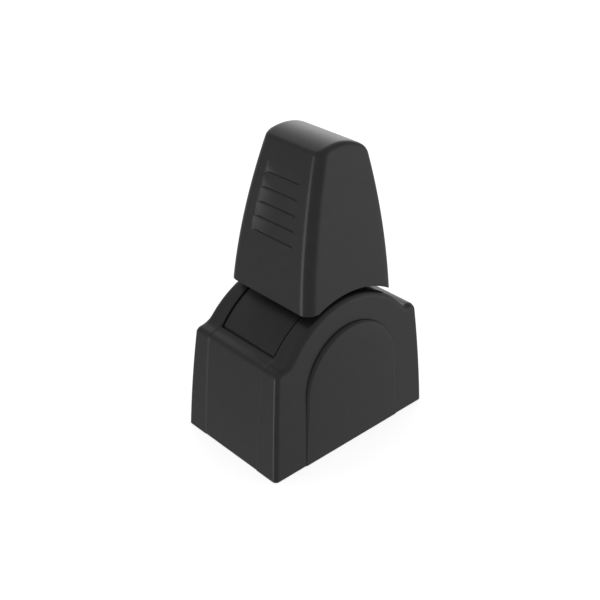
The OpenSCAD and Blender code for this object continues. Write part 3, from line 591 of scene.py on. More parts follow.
def base_outline(base, smallest=0.0):
    """Side outline of the base, carried down past its foot."""
    centre = (PIVOT.y, PIVOT.z)
    front_angle, back_angle = dome_angle(base.front_root), dome_angle(base.back_shoulder)
    dome = arc(centre, DOME_RADIUS, -front_angle, back_angle, 110)
    reach = HOUSING_HIGH.y
    slope = (base.front_root - base.front_shoulder) / (dome[0, 0] + reach)
    edge_z = base.front_shoulder + slope * (reach - half_length(base, base.front_shoulder))
    rise = np.linspace(UNDER, edge_z, 26)
    front = np.column_stack([-half_length(base, rise), rise])
    shoulder = np.array([mix(front[-1], dome[0], t) for t in np.linspace(0, 1, 5)])
    fall = np.linspace(base.back_shoulder, UNDER, 26)
    back = np.column_stack([half_length(base, fall), fall])
    ledge = np.array([mix(dome[-1], back[0], t) for t in np.linspace(0, 1, 4)])
    floor = np.array([mix(back[-1], front[0], t) for t in np.linspace(0, 1, 12)])
    rounds = [base.front_round, base.root_round, base.edge, base.back_round, 0, 0]
    return rounded_outline(
        [front, shoulder, dome, ledge, back, floor],
        [max(r, smallest) if r else 0 for r in rounds],
    )


def grip_part(grip, z):
    """Height along the grip, 0 at the foot's front edge and 1 at the top."""
    hollow = DOME_RADIUS + grip.gap
    foot = PIVOT.z + math.sqrt(hollow**2 - grip.front_foot**2)
    return (z - foot) / (GRIP_TOP - foot)


def grip_front_y(grip, z):
    """Place of the grip's front at a height."""
    t = grip_part(grip, z)
    return PIVOT.y - mix(grip.front_foot, grip.front_top, t) - 4 * grip.front_bow * t * (1 - t)


def grip_back_y(grip, z):
    """Place of the grip's back at a height."""
    t = grip_part(grip, z)
    return PIVOT.y + mix(grip.back_foot, grip.back_top, t) + 4 * grip.back_bow * t * (1 - t)


def crown_z(grip, y, inset=0.0):
    """Height of the crown, or of a surface inset from it, at a place along Y."""
    centre_y = PIVOT.y + grip.crown_setback
    centre_z = GRIP_TOP - grip.crown_radius
    return centre_z + np.sqrt((grip.crown_radius - inset) ** 2 - (y - centre_y) ** 2)


def rounded_plan(corner_steps=10, side_steps=14, end_steps=9):
    """A rounded rectangle, as shares of its half width, corner radius and depth.

    Each row is (share of the half width, radii added to X, share from front to back,
    radii added to Y), so one plan serves every height.
    """
    rows = []
    for side, end in ((1, 0), (1, 1), (-1, 1), (-1, 0)):
        ahead = 1 - 2 * end
        turn = np.linspace(0, math.pi / 2, corner_steps + 1)
        turn = turn[::-1] if (side > 0) == (end == 0) else turn
        rows += [(side, side * (math.cos(t) - 1), end, ahead * (1 - math.sin(t))) for t in turn]
        steps = side_steps if (side > 0) == (end == 0) else end_steps
        for t in (BESIDE, *np.linspace(0, 1, steps + 2)[1:-1], 1 - BESIDE):
            if steps == side_steps:
                t = t if side > 0 else 1 - t
                rows.append((side, 0, t, 1 - 2 * t))
            else:
                across = side * (1 - 2 * t)
                rows.append((across, -across, end, 0))
    return np.array(rows)


def disc_about_pivot(radius, steps=180):
    """Full circle about the cross shaft, as a closed outline."""
    turn = np.linspace(0, 2 * math.pi, steps, endpoint=False)
    return np.column_stack([PIVOT.y + radius * np.sin(turn), PIVOT.z + radius * np.cos(turn)])


def sector(outer, inner, front_angle, back_angle, steps=90):
    """Closed outline of a ring sector about the cross shaft."""
    centre = (PIVOT.y, PIVOT.z)
    return np.concatenate(
        [
            arc(centre, outer, -front_angle, back_angle, steps),
            arc(centre, inner, back_angle, -front_angle, steps),
        ]
    )


# ---- Materials ----


def add_node(tree, kind, inputs=None, links=None, **settings):
    """Adds a node with its settings, input values and links."""
    node = tree.nodes.new(kind)
    for key, value in settings.items():
        setattr(node, key, value)
    for key, value in (inputs or {}).items():
        node.inputs[key].default_value = value
    for key, socket in (links or {}).items():
        tree.links.new(socket, node.inputs[key])
    return node


def new_finish(name, base_colour, roughness, metallic=0.0, **shader_values):
    """A material with a Principled shader, and its tree, shader and Object coordinates."""
    material = bpy.data.materials.new(name)
    material.use_nodes = True
    tree = material.node_tree
    shader = tree.nodes["Principled BSDF"]
    shader.inputs["Base Color"].default_value = (*base_colour, 1)
    shader.inputs["Roughness"].default_value = roughness
    shader.inputs["Metallic"].default_value = metallic
    for key, value in shader_values.items():
        shader.inputs[key.replace("_", " ")].default_value = value
    place = add_node(tree, "ShaderNodeTexCoord").outputs["Object"]
    return material, tree, shader, place


def noise(tree, place, size, detail=2.0, spread=0.5):
    """Noise whose features are about the given size in metres."""
    return add_node(
        tree, "ShaderNodeTexNoise",
        {"Scale": 1 / size, "Detail": detail, "Roughness": spread}, {"Vector": place},
    ).outputs["Fac"]


def varied_colour(tree, shader, factor, base_colour, darker, lighter):
    """Drives the base colour between two shades of itself, over the middle of the factor's range."""
    ramp = add_node(tree, "ShaderNodeValToRGB", links={"Fac": factor})
    for element, share, at in zip(ramp.color_ramp.elements, (darker, lighter), (0.3, 0.7)):
        element.position = at
        element.color = (*(c * share for c in base_colour), 1)
    tree.links.new(ramp.outputs["Color"], shader.inputs["Base Color"])
    return ramp.outputs["Color"]


def varied_roughness(tree, shader, factor, low, high):
    """Drives the roughness between two values."""
    span = add_node(
        tree, "ShaderNodeMapRange", {"To Min": low, "To Max": high}, {"Value": factor}
    )
    tree.links.new(span.outputs["Result"], shader.inputs["Roughness"])


def bumped(tree, shader, factor, height, strength=1.0):
    """Adds bump of a height in metres."""
    bump = add_node(
        tree, "ShaderNodeBump", {"Distance": height, "Strength": strength}, {"Height": factor}
    )
    tree.links.new(bump.outputs["Normal"], shader.inputs["Normal"])


def moulded_plastic(name, base_colour, low, high, grain=0.35 * MM):
    """Spark-eroded mould texture on ABS: an even satin grain, with patches polished by handling.

    The real grain is about 0.1 mm, and it is drawn three times coarser so that it shows.
    """
    material, tree, shader, place = new_finish(name, base_colour, low, IOR=1.53)
    fine = noise(tree, place, grain, 1.0)
    broad = noise(tree, place, 14 * MM, 3.0)
    varied_colour(tree, shader, noise(tree, place, 6 * MM, 2.0), base_colour, 0.92, 1.08)
    varied_roughness(tree, shader, broad, low, high)
    bumped(tree, shader, fine, 0.012 * MM, 0.6)
    return material


def die_cast(name, base_colour):
    """Die-cast aluminium: dull and slightly pitted, with a cloudy flow pattern."""
    material, tree, shader, place = new_finish(name, base_colour, 0.45, 1.0)
    varied_colour(tree, shader, noise(tree, place, 3 * MM, 4.0), base_colour, 0.85, 1.05)
    varied_roughness(tree, shader, noise(tree, place, 1.2 * MM, 3.0), 0.4, 0.58)
    bumped(tree, shader, noise(tree, place, 0.4 * MM, 2.0), 0.02 * MM)
    return material


def turned_metal(name, base_colour, roughness, axis):
    """Turned or plated metal: soft rings across one axis, about 3 mm apart, like tool chatter."""
    material, tree, shader, place = new_finish(name, base_colour, roughness, 1.0)
    feed = add_node(
        tree, "ShaderNodeTexWave",
        {"Scale": 0.1 / MM, "Distortion": 0.6, "Detail": 2.0}, {"Vector": place},
        bands_direction=axis,
    )
    varied_colour(tree, shader, noise(tree, place, 2 * MM, 3.0), base_colour, 0.88, 1.04)
    varied_roughness(tree, shader, feed.outputs["Fac"], roughness - 0.06, roughness + 0.08)
    bumped(tree, shader, feed.outputs["Fac"], 0.006 * MM, 0.5)
    return material


def moulded_rubber(name, base_colour):
    """Moulded nitrile rubber: nearly black and dull, with a dusty bloom."""
    material, tree, shader, place = new_finish(name, base_colour, 0.75, IOR=1.52)
    bloom = noise(tree, place, 2.5 * MM, 4.0)
    varied_colour(tree, shader, bloom, base_colour, 0.8, 1.7)
    varied_roughness(tree, shader, bloom, 0.68, 0.86)
    bumped(tree, shader, noise(tree, place, 0.25 * MM, 2.0), 0.02 * MM)
    return material


def pressed_felt(name, base_colour):
    """Pressed wool felt: short matted fibres that scatter light, with no gloss."""
    material, tree, shader, place = new_finish(name, base_colour, 0.95, Sheen_Weight=0.4)
    fibres = noise(tree, place, 0.3 * MM, 6.0, 0.8)
    varied_colour(tree, shader, fibres, base_colour, 0.6, 1.3)
    bumped(tree, shader, fibres, 0.1 * MM)
    return material


def solder_mask(name, base_colour):
    """Solder mask on glass-epoxy board: glossy, with the weave showing faintly through."""
    material, tree, shader, place = new_finish(name, base_colour, 0.3, IOR=1.55, Coat_Weight=0.4)
    weave = add_node(
        tree, "ShaderNodeTexChecker", {"Scale": 1 / (0.8 * MM)}, {"Vector": place}
    ).outputs["Fac"]
    varied_colour(tree, shader, weave, base_colour, 0.9, 1.08)
    varied_roughness(tree, shader, noise(tree, place, 3 * MM), 0.26, 0.36)
    return material


def make_finishes(colours):
    """Every finish of the object, by the record's slot name."""
    return {
        "base_shell": moulded_plastic("Satin moulded ABS, base", colours.shell, 0.28, 0.34),
        "grip_shell": moulded_plastic("Satin moulded ABS, grip", colours.grip, 0.28, 0.34),
        "shutter": moulded_plastic("Fine textured acetal, shutter", colours.shutter, 0.4, 0.48),
        "inner_plastic": moulded_plastic("Natural acetal", colours.acetal, 0.35, 0.45),
        "cast_frame": die_cast("Die-cast aluminium", colours.casting),
        "steel": turned_metal("Zinc-plated steel", colours.steel, 0.3, "X"),
        "brass": turned_metal("Turned brass", colours.brass, 0.26, "X"),
        "rubber": moulded_rubber("Moulded nitrile rubber", colours.rubber),
        "felt": pressed_felt("Pressed wool felt", colours.felt),
        "board": solder_mask("Solder mask on epoxy board", colours.board),
    }


FINISHES = {}


def finish_of(slot):
    """The finish of a material slot. All are made the first time."""
    if not FINISHES:
        FINISHES.update(make_finishes(sizes(bpy.context, "colours")))
    return FINISHES[slot]


# ---- Repeats made with Geometry Nodes ----


def repeat_tree():
    """A node tree that puts a part on every point, turned and stretched by the point's values."""
    tree = bpy.data.node_groups.new("Repeat on points", "GeometryNodeTree")
    for name, kind in (
        ("Points", "NodeSocketGeometry"),
        ("Part", "NodeSocketObject"),
        ("Finish", "NodeSocketMaterial"),
        ("Size", "NodeSocketFloat"),
    ):
        socket = tree.interface.new_socket(name=name, in_out="INPUT", socket_type=kind)
        if name == "Size":
            socket.default_value = 1.0
    tree.interface.new_socket(name="Repeats", in_out="OUTPUT", socket_type="NodeSocketGeometry")
    given = add_node(tree, "NodeGroupInput").outputs
    part = add_node(tree, "GeometryNodeObjectInfo", links={"Object": given["Part"]})
    turn = add_node(
        tree, "GeometryNodeInputNamedAttribute", {"Name": "turn"}, data_type="FLOAT_VECTOR"
    )
    stretch = add_node(
        tree, "GeometryNodeInputNamedAttribute", {"Name": "stretch"}, data_type="FLOAT_VECTOR"
    )
    rotation = add_node(
        tree, "FunctionNodeEulerToRotation", links={"Euler": turn.outputs["Attribute"]}
    )
    scale = add_node(
        tree, "ShaderNodeVectorMath",
        links={0: stretch.outputs["Attribute"], "Scale": given["Size"]}, operation="SCALE",
    )
    spread = add_node(
        tree, "GeometryNodeInstanceOnPoints",
        links={
            "Points": given["Points"],
            "Instance": part.outputs["Geometry"],
            "Rotation": rotation.outputs["Rotation"],
            "Scale": scale.outputs["Vector"],
        },
    )
    real = add_node(
        tree, "GeometryNodeRealizeInstances", links={"Geometry": spread.outputs["Instances"]}
    )
    painted = add_node(
        tree, "GeometryNodeSetMaterial",
        links={"Geometry": real.outputs["Geometry"], "Material": given["Finish"]},
    )
    add_node(tree, "NodeGroupOutput", links={"Repeats": painted.outputs["Geometry"]})
    return tree


def repeated(name, part_mesh, spots, turns, stretches, material):
    """Copies of a mesh at the spots, as one plain mesh on an object at the origin."""
    points = bpy.data.meshes.new(name)
    points.from_pydata([tuple(s) for s in spots], [], [])
    for key, values in (("turn", turns), ("stretch", stretches)):
        field = points.attributes.new(key, "FLOAT_VECTOR", "POINT")
        field.data.foreach_set("vector", np.array(values, np.float32).ravel())
    holder, part = placed(points), placed(part_mesh)
    tree = bpy.data.node_groups.get("Repeat on points") or repeat_tree()
    step = holder.modifiers.new("Repeat", "NODES")
    step.node_group = tree
    ids = {s.name: s.identifier for s in tree.interface.items_tree if s.in_out == "INPUT"}
    step[ids["Part"]] = part
    step[ids["Finish"]] = material
    step[ids["Size"]] = 1.0
    settled(holder)
    for key in ("turn", "stretch"):
        if key in holder.data.attributes:
            holder.data.attributes.remove(holder.data.attributes[key])
    bpy.data.objects.remove(part)
    return holder


def islands(node):
    """(middle, half size) of every separate solid of a frame node."""
    made = bmesh.new()
    made.from_mesh(frame["nodes"][node].data)
    bmesh.ops.remove_doubles(made, verts=made.verts, dist=1e-6)
    left, found = set(made.verts), []
    while left:
        stack, group = [left.pop()], []
        while stack:
            vert = stack.pop()
            group.append(vert.co.copy())
            for edge in vert.link_edges:
                other = edge.other_vert(vert)
                if other in left:
                    left.remove(other)
                    stack.append(other)
        low = Vector(map(min, *group))
        high = Vector(map(max, *group))
        found.append(((low + high) / 2, (high - low) / 2))
    made.free()
    return sorted(found, key=lambda item: tuple(round(c, 6) for c in item[0]))


def screw_mesh(screw, shank):
    """A pan-head screw with a cross recess. Its head's top is at Z = 0 and it points down."""
    rim, under, chamfer = screw.head, -screw.head_height, 0.1 * MM
    dome = [(0.3, 0), (0.62, 0.06), (0.85, 0.3), (0.97, 0.7), (1, 1.1)]
    profile = [(share * rim, -fall * MM) for share, fall in dome]
    profile += [(rim, under + chamfer), (rim - chamfer, under), (screw.crest, under)]
    threads = int((shank - screw.pitch) / screw.pitch)
    for i in range(threads):
        start = under - screw.pitch * (i + 0.5)
        profile += [(screw.crest, start), (screw.core, start - screw.pitch / 2)]
    end = under - shank
    profile += [(screw.crest, end + screw.pitch * 0.6), (screw.core * 0.6, end)]
    piece = placed(lathe("screw", profile))
    arms = [
        ((-screw.recess, -screw.blade), (screw.recess, screw.blade)),
        ((-screw.blade, -screw.recess), (screw.blade, screw.recess)),
    ]
    for low, high in arms:
        tool = box("arm", (*low, -screw.recess_depth), (*high, screw.recess_depth))
        combined(piece, "DIFFERENCE", tool)
    mesh = piece.data
    bpy.data.objects.remove(piece)
    return mesh


def screws(context, node, axis, body):
    """Replaces a frame node's plain screws. axis points from each tip to its head."""
    screw = sizes(context, "screw")
    axis = Vector(axis)
    turn = Vector((0, 0, 1)).rotation_difference(axis).to_euler()
    found = islands(node)
    reach = abs(found[0][1].dot(axis))
    mesh = screw_mesh(screw, 2 * reach - screw.head_height)
    spots = [middle + axis * reach for middle, _ in found]
    piece = repeated(
        node + "_detailed", mesh, spots, [tuple(turn)] * len(spots),
        [(1, 1, 1)] * len(spots), finish_of("steel"),
    )
    finished(piece, node + "_detailed", body, "steel", finish_of("steel"), node)


# ---- Operators ----


class PieceOperator(bpy.types.Operator):
    """Common form of the operators: each builds a piece or raises an error."""

    bl_options = {"REGISTER", "UNDO"}

    def execute(self, context):
        self.build(context)
        return {"FINISHED"}


def cover_outline(cover, grow):
    """Arched outline of a side cover, carried down past its foot."""
    radius = COVER_HIGH.z - cover.centre + grow
    foot = COVER_HIGH.y + grow
    slope = (foot - radius) / cover.centre
    low = foot - slope * UNDER
    front_low, back_low = np.array([[-low, UNDER]]), np.array([[low, UNDER]])
    top = arc((0, cover.centre), radius, -math.pi / 2, math.pi / 2, 64)
    steps = 19
    rise = np.linspace(0, 1, steps + 1)[:-1, None]
    front = mix(front_low, top[:1], rise)
    back = mix(top[-1:], back_low, rise + 1 / steps)
    under = mix(back_low, front_low, np.linspace(0, 1, 12)[1:-1, None])
    return np.concatenate([front, top, back, under])


def foot_cut(piece, z):
    """Cuts a piece off flat below a height."""
    below = box("below", (-PAST_ALL, -PAST_ALL, -PAST_ALL), (PAST_ALL, PAST_ALL, z))
    return combined(piece, "DIFFERENCE", below)


class CONTROLLER_OT_housing(PieceOperator):
    """Builds the domed base shell with its slot, shallow front panel and cover seats"""

    bl_idname = "controller.housing"
    bl_label = "Base shell"

    def build(self, context):
        base, cover = sizes(context, "base"), sizes(context, "cover")
        outline = base_outline(base)
        normal = outward(outline)
        upright = smoothstep(*UPRIGHT, np.abs(normal[:, 0]))
        radii = mix(base.edge, base.corner, upright)
        in_front = 1 - smoothstep(PANEL_BACK, PANEL_END, outline[:, 0])
        panel, slant = base.panel_half, base.panel_slant / 2

        def recess(x):
            share = min(max((panel + slant - x) / (2 * slant), 0), 1)
            return in_front * share * base.panel_recess

        stations = [0, panel / 2, panel - 2 * slant, panel - slant, panel + slant]
        stations.append(panel + 2 * slant)
        pole = np.array([0, FOOT_Z])
        shell = placed(
            pillow(
                "base_shell", outline, radii, lambda z: half_width(base, z), pole, stations, recess
            )
        )
        foot_cut(shell, FOOT_Z)
        combined(shell, "DIFFERENCE", *self.hollows(base))
        round_socket = Vector((1, 1, 1)) * SOCKET_GAP
        low, high = SOCKET_LOW - round_socket, SOCKET_HIGH + round_socket
        high.y = HOUSING_HIGH.y + base.wall
        combined(shell, "DIFFERENCE", box("mouth", low, high))
        softened(shell, base.softening)
        combined(shell, "DIFFERENCE", *self.seats(base, cover))
        finished(shell, "base_shell", "base", "base_shell", finish_of("base_shell"), "housing")

    def hollows(self, base):
        """The cavity, the slot, and the tracks that the shutter's band and land run in.

    Known fault: the cavity's faces come out pointing inwards, so cutting it adds a second skin
    and the shell stays filled. Turning them round would hollow the shell.
    """
        outline = base_outline(base, base.wall + INNER_ROUND)
        inner = outline - outward(outline) * base.wall
        radii = np.full(len(inner), INNER_ROUND)
        yield pillow(
            "cavity", inner, radii, lambda z: half_width(base, z) - base.wall,
            np.array([0, FOOT_Z]), [0, INNER_LINE], turns=2, fans=4,
        )
        shutter = sizes(bpy.context, "shutter")
        land_half = base.slot_half - shutter.land_gap / 2
        land_top = DOME_RADIUS - shutter.land_drop + LAND_CLEARANCE
        for name, half, outer, inner, front, back in (
            ("slot", base.slot_half, DOME_RADIUS + PAST_DOME, DOME_RADIUS - UNDER_DOME,
             base.slot_front, base.slot_back),
            ("band_track", SHUTTER_HIGH.x + BAND_CLEARANCE, DOME_RADIUS - base.lip,
             DOME_RADIUS - BAND_TRACK, TRACK_END, TRACK_END),
            ("land_track", land_half, land_top, DOME_RADIUS - LAND_TRACK, TRACK_END, TRACK_END),
        ):
            yield prism(name, sector(outer, inner, front, back), -half, half)

    def seats(self, base, cover):
        """The arched seats of the two side covers."""
        outline = cover_outline(cover, cover.gap)
        far = HOUSING_HIGH.x + PAST_SIDE
        for side in (1, -1):
            yield slab(
                "seat", outline,
                lambda y, z, s=side: s * (half_width(base, z) - cover.seat),
                lambda y, z, s=side: z * 0 + s * far,
                levels=5,
            )


class CONTROLLER_OT_side_covers(PieceOperator):
    """Builds the two arched side covers, with rounded edges"""

    bl_idname = "controller.side_covers"
    bl_label = "Side covers"

    def build(self, context):
        base, cover = sizes(context, "base"), sizes(context, "cover")
        for side, name in ((1, "right"), (-1, "left")):
            node = "side_cover_" + name
            piece = placed(self.cover_mesh(base, cover, side, node))
            foot_cut(piece, FOOT_Z)
            finished(
                piece, node + "_moulded", "base", "base_shell", finish_of("base_shell"), node
            )

    def cover_mesh(self, base, cover, side, name):
        """Rings from the back of the seat, up the edge, round onto the flat face."""
        outline = cover_outline(cover, 0.0)
        normal = outward(outline)
        middle = np.array([0, cover.centre * COVER_POLE])

        def back_x(z):
            return half_width(base, z) - cover.seat + COVER_BACK_GAP

        def face_x(z):
            return HOUSING_HIGH.x + cover.proud - cover.slope * z

        rings = []
        for share in (0.25, 0.5, 0.75, 1):
            yz = middle + (outline - middle) * share
            rings.append(np.column_stack([back_x(yz[:, 1]), yz]))
        width = mix(
            cover.round_low, cover.round_high, smoothstep(0, cover.centre, outline[:, 1])
        )
        skin = half_width(base, outline[:, 1])
        for turn in np.linspace(0, math.pi / 2, 9):
            yz = outline - normal * (width * (1 - math.cos(turn)))[:, None]
            rings.append(np.column_stack([mix(skin, face_x(yz[:, 1]), math.sin(turn)), yz]))
        edge = rings[-1][:, 1:]
        for share in (0.75, 0.5, 0.25):
            yz = middle + (edge - middle) * share
            rings.append(np.column_stack([face_x(yz[:, 1]), yz]))
        poles = [[back_x(middle[1]), *middle], [face_x(middle[1]), *middle]]
        turn = np.array([side, 1, 1])
        return mesh_of_rings(name, [r * turn for r in rings], [np.array(p) * turn for p in poles])


class CONTROLLER_OT_shutter(PieceOperator):
    """Builds the curved shutter, with its raised land and its collar"""

    bl_idname = "controller.shutter"
    bl_label = "Shutter"

    def build(self, context):
        shutter, base = sizes(context, "shutter"), sizes(context, "base")
        band = DOME_RADIUS - shutter.band_drop
        land = DOME_RADIUS - shutter.land_drop
        front = math.asin((PIVOT.y - SHUTTER_LOW.y) / band)
        back = math.asin((SHUTTER_HIGH.y - PIVOT.y) / band)
        piece = self.strip("shutter", SHUTTER_HIGH.x, band, band - shutter.thickness, front, back)
        turn = shutter.land_gap / land
        front, back = base.slot_front - turn, base.slot_back - turn
        raised = self.strip(
            "land", base.slot_half - shutter.land_gap, land, band - shutter.thickness / 2,
            front, back,
        )
        softened(raised, shutter.edge, limit=math.radians(60), segments=3)
        combined(piece, "UNION", raised)
        self.add_collar(piece, shutter, band)
        finished(piece, "shutter_moulded", "lever", "shutter", finish_of("shutter"), "shutter")

    def strip(self, name, half_x, outer, inner, front, back):
        """A curved strip about the cross shaft."""
        rings = []
        for turn in np.linspace(-front, back, 110):
            y, z = math.sin(turn), math.cos(turn)
            section = [(-half_x, inner), (-half_x, outer), (half_x, outer), (half_x, inner)]
            rings.append(np.array([(x, PIVOT.y + r * y, PIVOT.z + r * z) for x, r in section]))
        return placed(mesh_of_rings(name, rings, [rings[0].mean(0), rings[-1].mean(0)]))

    def add_collar(self, piece, shutter, band):
        """A square collar under the band, with a window for the lever column."""
        low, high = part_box("yoke")
        half_y = (high.y - low.y) / 2
        wall = shutter.collar_wall
        top = PIVOT.z + band - shutter.thickness / 2
        outer = (COLUMN_HALF_X + wall, half_y + wall)
        combined(
            piece, "UNION",
            box(
                "collar", (-outer[0], PIVOT.y - outer[1], top - shutter.collar_height),
                (outer[0], PIVOT.y + outer[1], top),
            ),
        )
        x, y = COLUMN_HALF_X + COLUMN_FIT, half_y + COLUMN_FIT
        combined(
            piece, "DIFFERENCE",
            box(
                "window", (-x, PIVOT.y - y, PIVOT.z),
                (x, PIVOT.y + y, PIVOT.z + 2 * DOME_RADIUS),
            ),
        )


def grip_solid(name, grip, base, inset, levels=44, rounds=6, fans=8):
    """The grip's outer form, carried down into the dome, or its cavity when inset."""
    plan = rounded_plan()

    def wall(z):
        corner = mix(grip.corner_foot, grip.corner_top, np.clip(grip_part(grip, z), 0, 1))
        corner = np.maximum(corner - inset, INNER_ROUND)
        front, back = grip_front_y(grip, z) + inset, grip_back_y(grip, z) - inset
        x = (half_width(base, z) - inset) * plan[:, 0] + corner * plan[:, 1]
        return np.column_stack([x, mix(front, back, plan[:, 2]) + corner * plan[:, 3], z])

    rim_z = np.full(len(plan), GRIP_TOP - grip.crown_radius / 3)
    # The walls' place depends on the height and the crown's height on the place, so their
    # meeting is found by repeating.
    for _ in range(40):
        rim_z = crown_z(grip, wall(rim_z)[:, 1], inset)
    rim = wall(rim_z)
    tangent = np.roll(rim[:, :2], -1, axis=0) - np.roll(rim[:, :2], 1, axis=0)
    tangent /= np.linalg.norm(tangent, axis=1)[:, None]
    out = np.column_stack([tangent[:, 1], -tangent[:, 0]])
    out *= np.sign(np.sum(out * rim[:, :2]))
    reach = mix(grip.crown_edge, grip.back_round, smoothstep(*FACING, out[:, 1]))
    reach = mix(reach, grip.crown_front, smoothstep(*FACING, -out[:, 1]))
    reach = np.full(len(plan), INNER_ROUND) if inset else reach
    low = PIVOT.z + DOME_RADIUS * GRIP_ROOT
    start = wall(rim_z - reach)
    shares = (*np.linspace(0, 1, levels)[:-1], NEAR_RIM, 1)
    rings = [wall(mix(low, rim_z - reach, s)) for s in shares]
    inner = rim[:, :2] - out * reach[:, None]
    end = np.column_stack([inner, crown_z(grip, inner[:, 1], inset)])
    pull = 0.6
    first, second = mix(start, rim, pull), mix(end, rim, pull)
    for t in np.linspace(0, 1, rounds + 1)[1:]:
        rings.append(
            start * (1 - t) ** 3 + first * 3 * t * (1 - t) ** 2
            + second * 3 * t**2 * (1 - t) + end * t**3
        )
    middle = np.array([0, PIVOT.y + grip.crown_setback])
    for share in (1 - BESIDE, *np.linspace(1, 0, fans + 1)[1:-1]):
        xy = mix(middle, inner, share)
        rings.append(np.column_stack([xy, crown_z(grip, xy[:, 1], inset)]))
    poles = [[*middle, low], [*middle, crown_z(grip, middle[1], inset)]]
    return mesh_of_rings(name, rings, poles)


class CONTROLLER_OT_grip(PieceOperator):
    """Builds the front and rear shells of the grip, hollow, with bosses and finger grooves"""

    bl_idname = "controller.grip"
    bl_label = "Grip shells"

    def build(self, context):
        grip, base = sizes(context, "grip"), sizes(context, "base")
        far = PAST_GRIP
        hollow = DOME_RADIUS + grip.gap
        outer = placed(grip_solid("grip", grip, base, 0.0))
        front_z = PIVOT.z + grip.front_rise
        front_y = PIVOT.y - grip.front_foot / 2
        flat = box("flat", (-far, -far, 0), (far, front_y, front_z))
        combined(outer, "DIFFERENCE", prism("dome", disc_about_pivot(hollow), -far, far), flat)
        softened(outer, grip.softening, limit=math.radians(50), segments=3)
        cavity = placed(grip_solid("cavity", grip, base, grip.wall, 24, 1, 4))
        floor = prism("floor", disc_about_pivot(hollow + grip.wall), -far, far)
        flat = box("flat", (-far, -far, 0), (far, front_y, front_z + grip.wall))
        combined(cavity, "DIFFERENCE", floor, flat, *self.bosses())
        combined(outer, "DIFFERENCE", cavity, self.window(grip))
        halves = {}
        for name, low_y, high_y in (
            ("grip_front", -far, SPLIT_Y - grip.seam / 2),
            ("grip_rear", SPLIT_Y + grip.seam / 2, far),
        ):
            half = placed(outer.data.copy())
            combined(half, "INTERSECT", box("half", (-far, low_y, 0), (far, high_y, PAST_ALL)))
            halves[name] = half
        bpy.data.objects.remove(outer)
        self.cut_grooves(context, halves["grip_front"])
        combined(halves["grip_rear"], "DIFFERENCE", *self.holes())
        for name, half in halves.items():
            finished(half, name + "_moulded", "lever", "grip_shell", finish_of("grip_shell"), name)

    def screw_spots(self):
        """Middles of the grip's screws."""
        return [middle for middle, _ in islands("grip_screws")]

    def bosses(self):
        """Pillars round the grip's screws, right through the cavity."""
        for spot in self.screw_spots():
            start, end = (spot.x, -PAST_SCREWS, spot.z), (spot.x, PAST_SCREWS, spot.z)
            yield rod("boss", start, end, GRIP_BOSS)

    def holes(self):
        """Clearance and head holes of the grip's screws, open to the back."""
        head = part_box("grip_screws")[1].y - GRIP_HEAD
        for spot in self.screw_spots():
            end = (spot.x, PAST_SCREWS, spot.z)
            yield rod("shank", (spot.x, 0, spot.z), end, SHANK_HOLE)
            yield rod("head", (spot.x, head, spot.z), end, HEAD_HOLE)

    def window(self, grip):
        """Opening in the hollow foot for the lever column."""
        x, y = COLUMN_HALF_X + COLUMN_SLACK, COLUMN_HALF_Y + COLUMN_SLACK
        top = PIVOT.z + DOME_RADIUS + grip.gap + 3 * grip.wall
        return box("window", (-x, PIVOT.y - y, PIVOT.z), (x, PIVOT.y + y, top))

    def cut_grooves(self, context, piece):
        """Cuts the row of sawtooth finger grooves, each with a ledge at its foot."""
        groove, grip = sizes(context, "groove"), sizes(context, "grip")
        ahead = 1 * MM
        height = groove.pitch - groove.land
        fall = groove.ledge_slope * (groove.depth + ahead)
        corners = [(-ahead, -fall), (groove.depth, 0), (0, height), (-ahead, height)]
        half = groove.half_low
        rings = [
            np.array([(side * (half - groove.end_slope * y), y, z) for y, z in corners])
            for side in (-1, 1)
        ]
        poles = [ring.mean(axis=0) for ring in rings]
        cutter = mesh_of_rings("groove", rings, poles)
        spots, stretches = [], []
        for i in range(groove.count):
            z = GRIP_TOP - groove.drop + i * groove.pitch
            spots.append((0, grip_front_y(grip, z), z))
            stretches.append(((half - i * groove.half_step) / half, 1, 1))
        turns = [(-groove.tilt, 0, 0)] * groove.count
        row = repeated("grooves", cutter, spots, turns, stretches, finish_of("grip_shell"))
        combined(piece, "DIFFERENCE", row)


class CONTROLLER_OT_screws(PieceOperator):
    """Builds the pan-head screws, with cross recesses and threads"""

    bl_idname = "controller.screws"
    bl_label = "Screws"

    def build(self, context):
        for node, axis, body in (
            ("base_screws", (0, 0, -1), "base"),
            ("chassis_screws", (0, 0, 1), "base"),
            ("board_screws", (0, 0, 1), "base"),
            ("grip_screws", (0, 1, 0), "lever"),
            ("core_screws", (0, 1, 0), "lever"),
        ):
            screws(context, node, axis, body)


